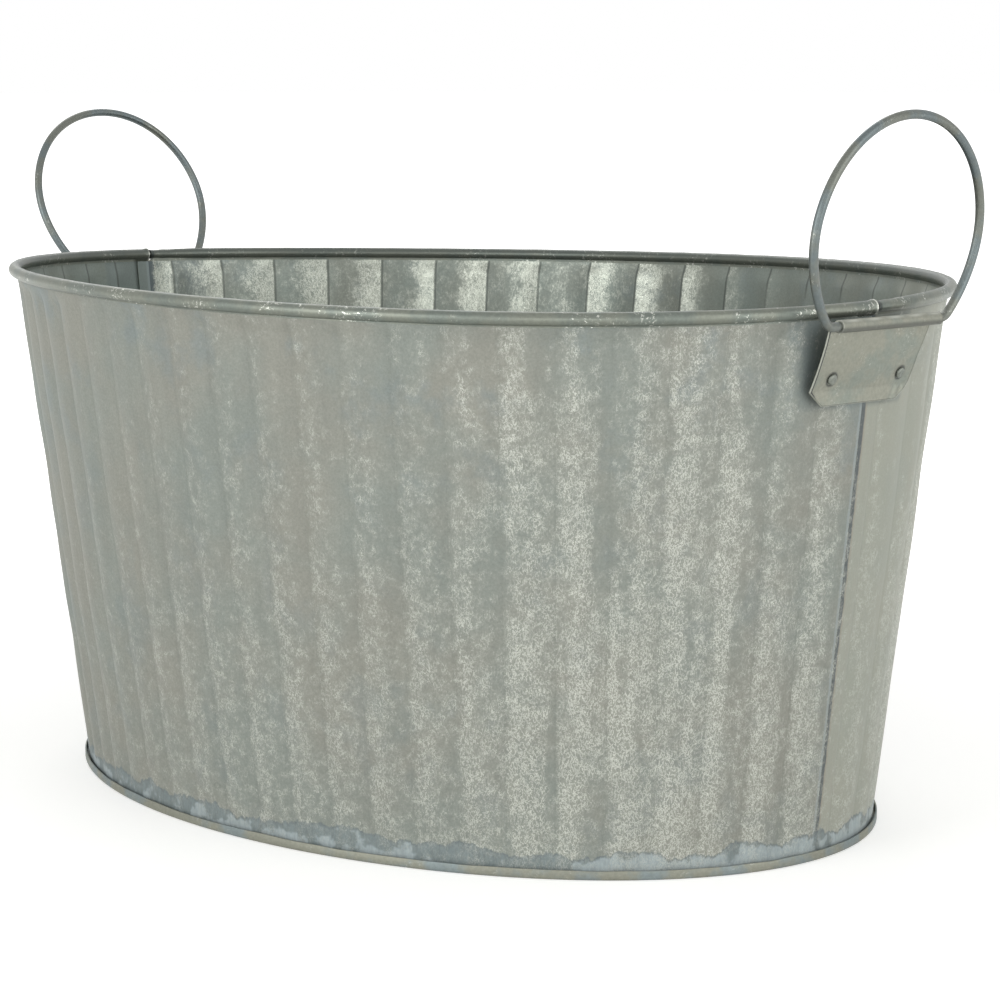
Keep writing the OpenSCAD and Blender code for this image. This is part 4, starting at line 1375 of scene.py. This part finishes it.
# %% Galvanised sheet
def new_material(name):
    """An empty material with its shader."""
    material = bpy.data.materials.new(name)
    material.use_nodes = True
    tree = material.node_tree
    tree.nodes.clear()
    shader = node(tree, "ShaderNodeBsdfPrincipled")
    node(tree, "ShaderNodeOutputMaterial", {"Surface": shader})
    return material, tree, shader


def galvanised(name, tones, flecks, density, lines, tallest, metal, roughness):
    """Weathered galvanised sheet. flecks gives the colours of their patches and threads. density and
    lines are the functions for how thickly flecks lie, partly placed as a painted glint, and how dark
    the painted shade along valleys or ridges is. tallest is the wash's greatest height in millimetres.
    metal and roughness each give the patina's value and the flecks'."""
    material, tree, shader = new_material(name)
    place = node(tree, PLACE).outputs["Object"]
    patches, threads = pale_flecks(tree, place, density(tree, place))
    ground = zinc_ground(tree, place, tones)
    marked = lug_shade_and_drops(tree, place, seam_marks(tree, place, ground))
    washed, wash = foot_wash(tree, place, marked, tallest)
    through = node(tree, RANGE, {0: wash, OUT_FROM: 0.8, OUT_TO: 0.25})
    shown = node(tree, MATH, {0: patches, 1: through}, operation="MULTIPLY")
    final = node(tree, MIX, {FACTOR: shown, A: washed, B: colour(flecks[0])}, **COLOURS)
    shown = node(tree, MATH, {0: threads, 1: through}, operation="MULTIPLY")
    final = node(tree, MIX, {FACTOR: shown, A: final, B: colour(flecks[1])}, **COLOURS)
    # Painted shade along the valleys outside and the ridges inside.
    flute_shade = lines(tree, place)
    final = node(tree, MIX, {FACTOR: flute_shade, A: final, B: colour("#4f554f")}, **COLOURS)
    tree.links.new(final.outputs[2], shader.inputs["Base Color"])
    bright = node(tree, RANGE, {0: patches, OUT_FROM: metal[0], OUT_TO: metal[1]})
    tree.links.new(bright.outputs[0], shader.inputs["Metallic"])
    gloss = node(tree, RANGE, {0: patches, OUT_FROM: roughness[0], OUT_TO: roughness[1]})
    tree.links.new(gloss.outputs[0], shader.inputs["Roughness"])
    bump = node(tree, "ShaderNodeBump", {"Strength": 0.3, "Distance": 0.08 * MM, "Height": threads})
    tree.links.new(bump.outputs[0], shader.inputs["Normal"])
    return material


wall_outside = galvanised("galvanised_zinc_outside",
    tones=("#86877e", "#80867f", "#788282"), flecks=("#999c92", "#d2d4cb"), density=outside_flecks_and_glint,
    lines=valley_shade, tallest=9, metal=(0.15, 0.4), roughness=(0.62, 0.45))
# Inside: tones a little darker than outside as painted shade, and flecks placed as a painted glint.
wall_inside = galvanised("galvanised_zinc_inside",
    tones=("#7d8279", "#7b847d", "#788280"), flecks=("#a4a89d", "#c5c9be"), density=inside_flecks_and_glint,
    lines=ridge_shade, tallest=4, metal=(0.45, 0.85), roughness=(0.46, 0.36))
print("materials:", [m.name for m in (wall_outside, wall_inside)])

# %% [markdown]
# Rolling the rim, curling a lug and drawing a wire all burnish the zinc: the crystals are rubbed
# flat, the tone is more even and the gloss a little tighter, with small bright rubs where tools
# have slid. One recipe serves them all, with its own tones, rubs and roughness for each. Stored
# numbers paint shade on the rim's inner side, in the slot of the roll, on the rim's wire, round a
# rivet and under the barrel, and paint highlights on the cut lips and the barrel's top.

# %% Burnished zinc
TONE, RUB, RUB_SPOT, SCRATCH = 16, 11, 1.1, 1.2


def burnished(name, tones, rub_and_highlight, rub_amount, roughness, metal=0.6):
    """Zinc-coated steel smoothed by rolling or drawing. tones are its main, cool and painted-shade
    colours, and the rub colour serves both its rubs and its painted highlights.
    """
    material, tree, shader = new_material(name)
    place = node(tree, PLACE).outputs["Object"]
    main, cool, painted_shade = [colour(tone) for tone in tones]
    cloud = node(tree, NOISE, {"Vector": place, "Scale": per(TONE), "Detail": 4, "Roughness": 0.6})
    cloudy = node(tree, RANGE, {0: cloud, FROM: 0.42, TO: 0.62}, **SMOOTH)
    body = node(tree, MIX, {FACTOR: cloudy, A: main, B: cool}, **COLOURS)
    fine = node(tree, NOISE, {"Vector": place, "Scale": per(SCRATCH), "Detail": 4, "Roughness": 0.7})
    value = node(tree, RANGE, {0: fine, FROM: 0.3, TO: 0.7, OUT_FROM: 0.88, OUT_TO: 1.12})
    body = node(tree, TINT, {"Value": value, "Color": body})
    patch = node(tree, NOISE, {"Vector": place, "Scale": per(RUB), "Detail": 2, "Roughness": 0.6})
    patches = node(tree, RANGE, {0: patch, FROM: 0.5, TO: 0.62}, **SMOOTH)
    spot = node(tree, NOISE,
        {"Vector": place, "Scale": per(RUB_SPOT), "Detail": 3, "Roughness": 0.7, "Distortion": 0.6})
    spots = node(tree, RANGE, {0: spot, FROM: 0.55, TO: 0.68, OUT_TO: rub_amount}, **SMOOTH)
    rubs_and_highlights = node(tree, MATH, {0: patches, 1: spots}, operation="MULTIPLY")
    # Stored painted highlights join the rubs.
    painted_highlight = node(tree, STORED, attribute_name="painted_highlight").outputs["Fac"]
    rubs_and_highlights = node(tree, MATH, {0: rubs_and_highlights, 1: painted_highlight}, operation="MAXIMUM")
    body = node(tree, MIX, {FACTOR: rubs_and_highlights, A: body, B: colour(rub_and_highlight)}, **COLOURS)
    # Stored painted shade darkens towards the third tone.
    shaded_share = node(tree, STORED, attribute_name="painted_shade").outputs["Fac"]
    body = node(tree, MIX, {FACTOR: shaded_share, A: body, B: painted_shade}, **COLOURS)
    tree.links.new(body.outputs[2], shader.inputs["Base Color"])
    shader.inputs["Metallic"].default_value = metal
    gloss = node(tree, RANGE, {0: rubs_and_highlights, OUT_FROM: roughness, OUT_TO: roughness - 0.15})
    tree.links.new(gloss.outputs[0], shader.inputs["Roughness"])
    bump = node(tree, "ShaderNodeBump", {"Strength": 0.3, "Distance": 0.06 * MM, "Height": fine})
    tree.links.new(bump.outputs[0], shader.inputs["Normal"])
    return material


# Each third tone is a painted shade, and each fourth value colours both rubs and painted highlights.
rolled_zinc = burnished("rolled_zinc_rim", ("#767a70", "#6c736c", "#474d49"), "#d3d5cb", 0.9, 0.42)
lug_zinc = burnished("zinc_sheet_lug", ("#8a8b7f", "#80867d", "#363a38"), "#b9bbb0", 0.4, 0.5)
base_zinc = burnished("galvanised_base", ("#86877b", "#7c8686", "#5f645e"), "#b2b6af", 0.5, 0.58)
rivet_steel = burnished("zinc_rivet", ("#7b7f77", "#70766f", "#3a3e3c"), "#c2c5bd", 0.5, 0.45)
wire_zinc = burnished("galvanised_wire", ("#6c6f68", "#646d6e", "#262a29"), "#abaea6", 0.5, 0.4)
print("materials:", [m.name for m in (rolled_zinc, lug_zinc, base_zinc, rivet_steel, wire_zinc)])

# %% [markdown]
# Every finished piece takes the place of a piece of the frame, gets its material and moves with its
# body. The wall's panels carry three materials: outside, inside and the rolled rim.

# %% Finish the pieces
for panel, cad_node in ((front_sheet, "front_wall"), (back_sheet, "back_wall")):
    for material in (wall_outside, wall_inside, rolled_zinc):
        panel.data.materials.append(material)
    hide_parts(cad_node)
    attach(panel, "tub")
single = [
    (base_pan, base_zinc, "floor_pan", "base_sheet", "tub"),
    (right_lug, lug_zinc, "right_lug", "lug_sheet", "tub"),
    (left_lug, lug_zinc, "left_lug", "lug_sheet", "tub"),
    (rim_core, wire_zinc, "rim_wire", "wire", "tub"),
    (right_wire, wire_zinc, "right_handle", "wire", "right_handle"),
    (left_wire, wire_zinc, "left_handle", "wire", "left_handle"),
]
for name, piece in rivets.items():
    single.append((piece, rivet_steel, name.split("_")[0] + "_rivets", "rivet", "tub"))
for piece, material, cad_node, slot, body in single:
    piece.data.materials.append(material)
    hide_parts(cad_node)
    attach(piece, body)
print("pieces:", len(single) + 2)

# %% [markdown]
# The floor is a plain pale sheet that shows the tub's soft shadow. What is seen of it is lifted
# towards white, and fully so away from the tub, so it runs into the white background. Reflections
# see the same.

# %% Floor
FLOOR_HALF = 30.0
FLOOR_DROP = 0.0001
LIFT_NEAR, LIFT_FAR = 0.41, 1.0
NEAR, FAR = 0.3, 0.9


def seen_directly(tree):
    """1 for rays from the camera, from a gloss or through glass, and 0 for rays that carry light."""
    path = node(tree, "ShaderNodeLightPath").outputs
    seen = node(tree, MATH, {0: path["Is Camera Ray"], 1: path["Is Glossy Ray"]}, operation="MAXIMUM")
    return node(tree, MATH, {0: seen, 1: path["Is Transmission Ray"]}, operation="MAXIMUM")


corners = [(x * FLOOR_HALF, y * FLOOR_HALF, -FLOOR_DROP) for x, y in ((-1, -1), (1, -1), (1, 1), (-1, 1))]
floor_mesh = bpy.data.meshes.new("floor")
floor_mesh.from_pydata(corners, [], [(0, 1, 2, 3)])
floor = bpy.data.objects.new("floor", floor_mesh)
bpy.context.scene.collection.objects.link(floor)
floor_paint = bpy.data.materials.new("pale_paper")
floor_paint.use_nodes = True
tree = floor_paint.node_tree
tree.nodes.clear()
paper = node(tree, "ShaderNodeBsdfDiffuse", {"Color": colour("#e6e6e4")})
away = node(tree, "ShaderNodeVectorMath", {0: node(tree, PLACE).outputs["Object"]}, operation="LENGTH")
lift = node(tree, RANGE,
    {0: away.outputs["Value"], FROM: NEAR, TO: FAR, OUT_FROM: LIFT_NEAR, OUT_TO: LIFT_FAR})
shown = node(tree, MATH, {0: seen_directly(tree), 1: lift}, operation="MULTIPLY")
glow = node(tree, "ShaderNodeEmission", {"Color": (1, 1, 1, 1), "Strength": shown})
both = node(tree, "ShaderNodeAddShader", {0: paper, 1: glow})
node(tree, "ShaderNodeOutputMaterial", {"Surface": both})
floor_mesh.materials.append(floor_paint)
floor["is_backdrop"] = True
print("floor:", 2 * FLOOR_HALF, "m wide")

# %% [markdown]
# Soft studio light: a big panel on the left that rakes across the flutes, a second one on the right
# and a weak one behind, and pale surroundings that light the rest. A white card facing them reads
# as white.

# %% Light
AIM = Vector((0, 0, 0.1))
AZIMUTH = math.radians(46.954)
LIGHT_LEVEL, SEEN_LEVEL = 0.6, 1.0


def soft_panel(name, place, size, watts):
    """A square light panel that faces the tub's middle."""
    data = bpy.data.lights.new(name, "AREA")
    data.size = size
    data.energy = watts
    lamp = bpy.data.objects.new(name, data)
    lamp.location = place
    lamp.rotation_euler = (AIM - lamp.location).to_track_quat("-Z", "Y").to_euler()
    bpy.context.scene.collection.objects.link(lamp)
    return lamp


def from_camera_side(turn, distance, height):
    """A place round the tub, at a turn in degrees from the camera's side, clockwise seen from above."""
    a = AZIMUTH - math.radians(turn)
    return (math.sin(a) * distance, -math.cos(a) * distance, height)


lamps = [
    soft_panel("key", from_camera_side(50, 1.6, 0.5), 0.9, 10.6),
    soft_panel("fill", from_camera_side(-50, 1.7, 0.5), 1.4, 12.3),
    soft_panel("front", from_camera_side(4, 1.7, 0.35), 0.45, 3),
    soft_panel("back", from_camera_side(170, 1.6, 1.4), 1.2, 8),
]

world = bpy.data.worlds.new("studio")
bpy.context.scene.world = world
world.use_nodes = True
tree = world.node_tree
tree.nodes.clear()
strength = node(tree, RANGE, {0: seen_directly(tree), OUT_FROM: LIGHT_LEVEL, OUT_TO: SEEN_LEVEL})
sky = node(tree, "ShaderNodeBackground", {"Color": (1, 1, 1, 1), "Strength": strength})
node(tree, "ShaderNodeOutputWorld", {"Surface": sky})
print("lamps:", [lamp.name for lamp in lamps])

# %% [markdown]
# The camera looks at the tub from its front right with a long lens, a little above the rim. Its
# shift only brings the tub to its place in the frame.

# %% Camera
ELEVATION = math.radians(8.462)
DISTANCE = 1.144318
SENSOR, LENS = 36, 107.93
SHIFT_X, SHIFT_Y = 0.03635, 0.01816
level_part = math.cos(ELEVATION)
back = Vector((math.sin(AZIMUTH) * level_part, -math.cos(AZIMUTH) * level_part, math.sin(ELEVATION)))
camera_data = bpy.data.cameras.new("camera")
camera_data.sensor_width = SENSOR
camera_data.lens = LENS
camera_data.shift_x = SHIFT_X
camera_data.shift_y = SHIFT_Y
camera = bpy.data.objects.new("camera", camera_data)
camera.location = AIM + back * DISTANCE
camera.rotation_euler = (-back).to_track_quat("-Z", "Y").to_euler()
bpy.context.scene.collection.objects.link(camera)
bpy.context.scene.camera = camera
bpy.context.scene.view_settings.view_transform = "Standard"
print("camera at", [round(c, 3) for c in camera.location])

# %% [markdown]
# The finished object is measured once more and compared with the frame's box, and how far it
# reaches past that box on each side is printed.

# %% Measure the finished object and finish
visual_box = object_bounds()
below = [max(0.0, c - v) / MM for c, v in zip(cad_box[0], visual_box[0])]
above = [max(0.0, v - c) / MM for c, v in zip(cad_box[1], visual_box[1])]
print("past the frame's box, mm:", [round(x, 4) for x in below + above])
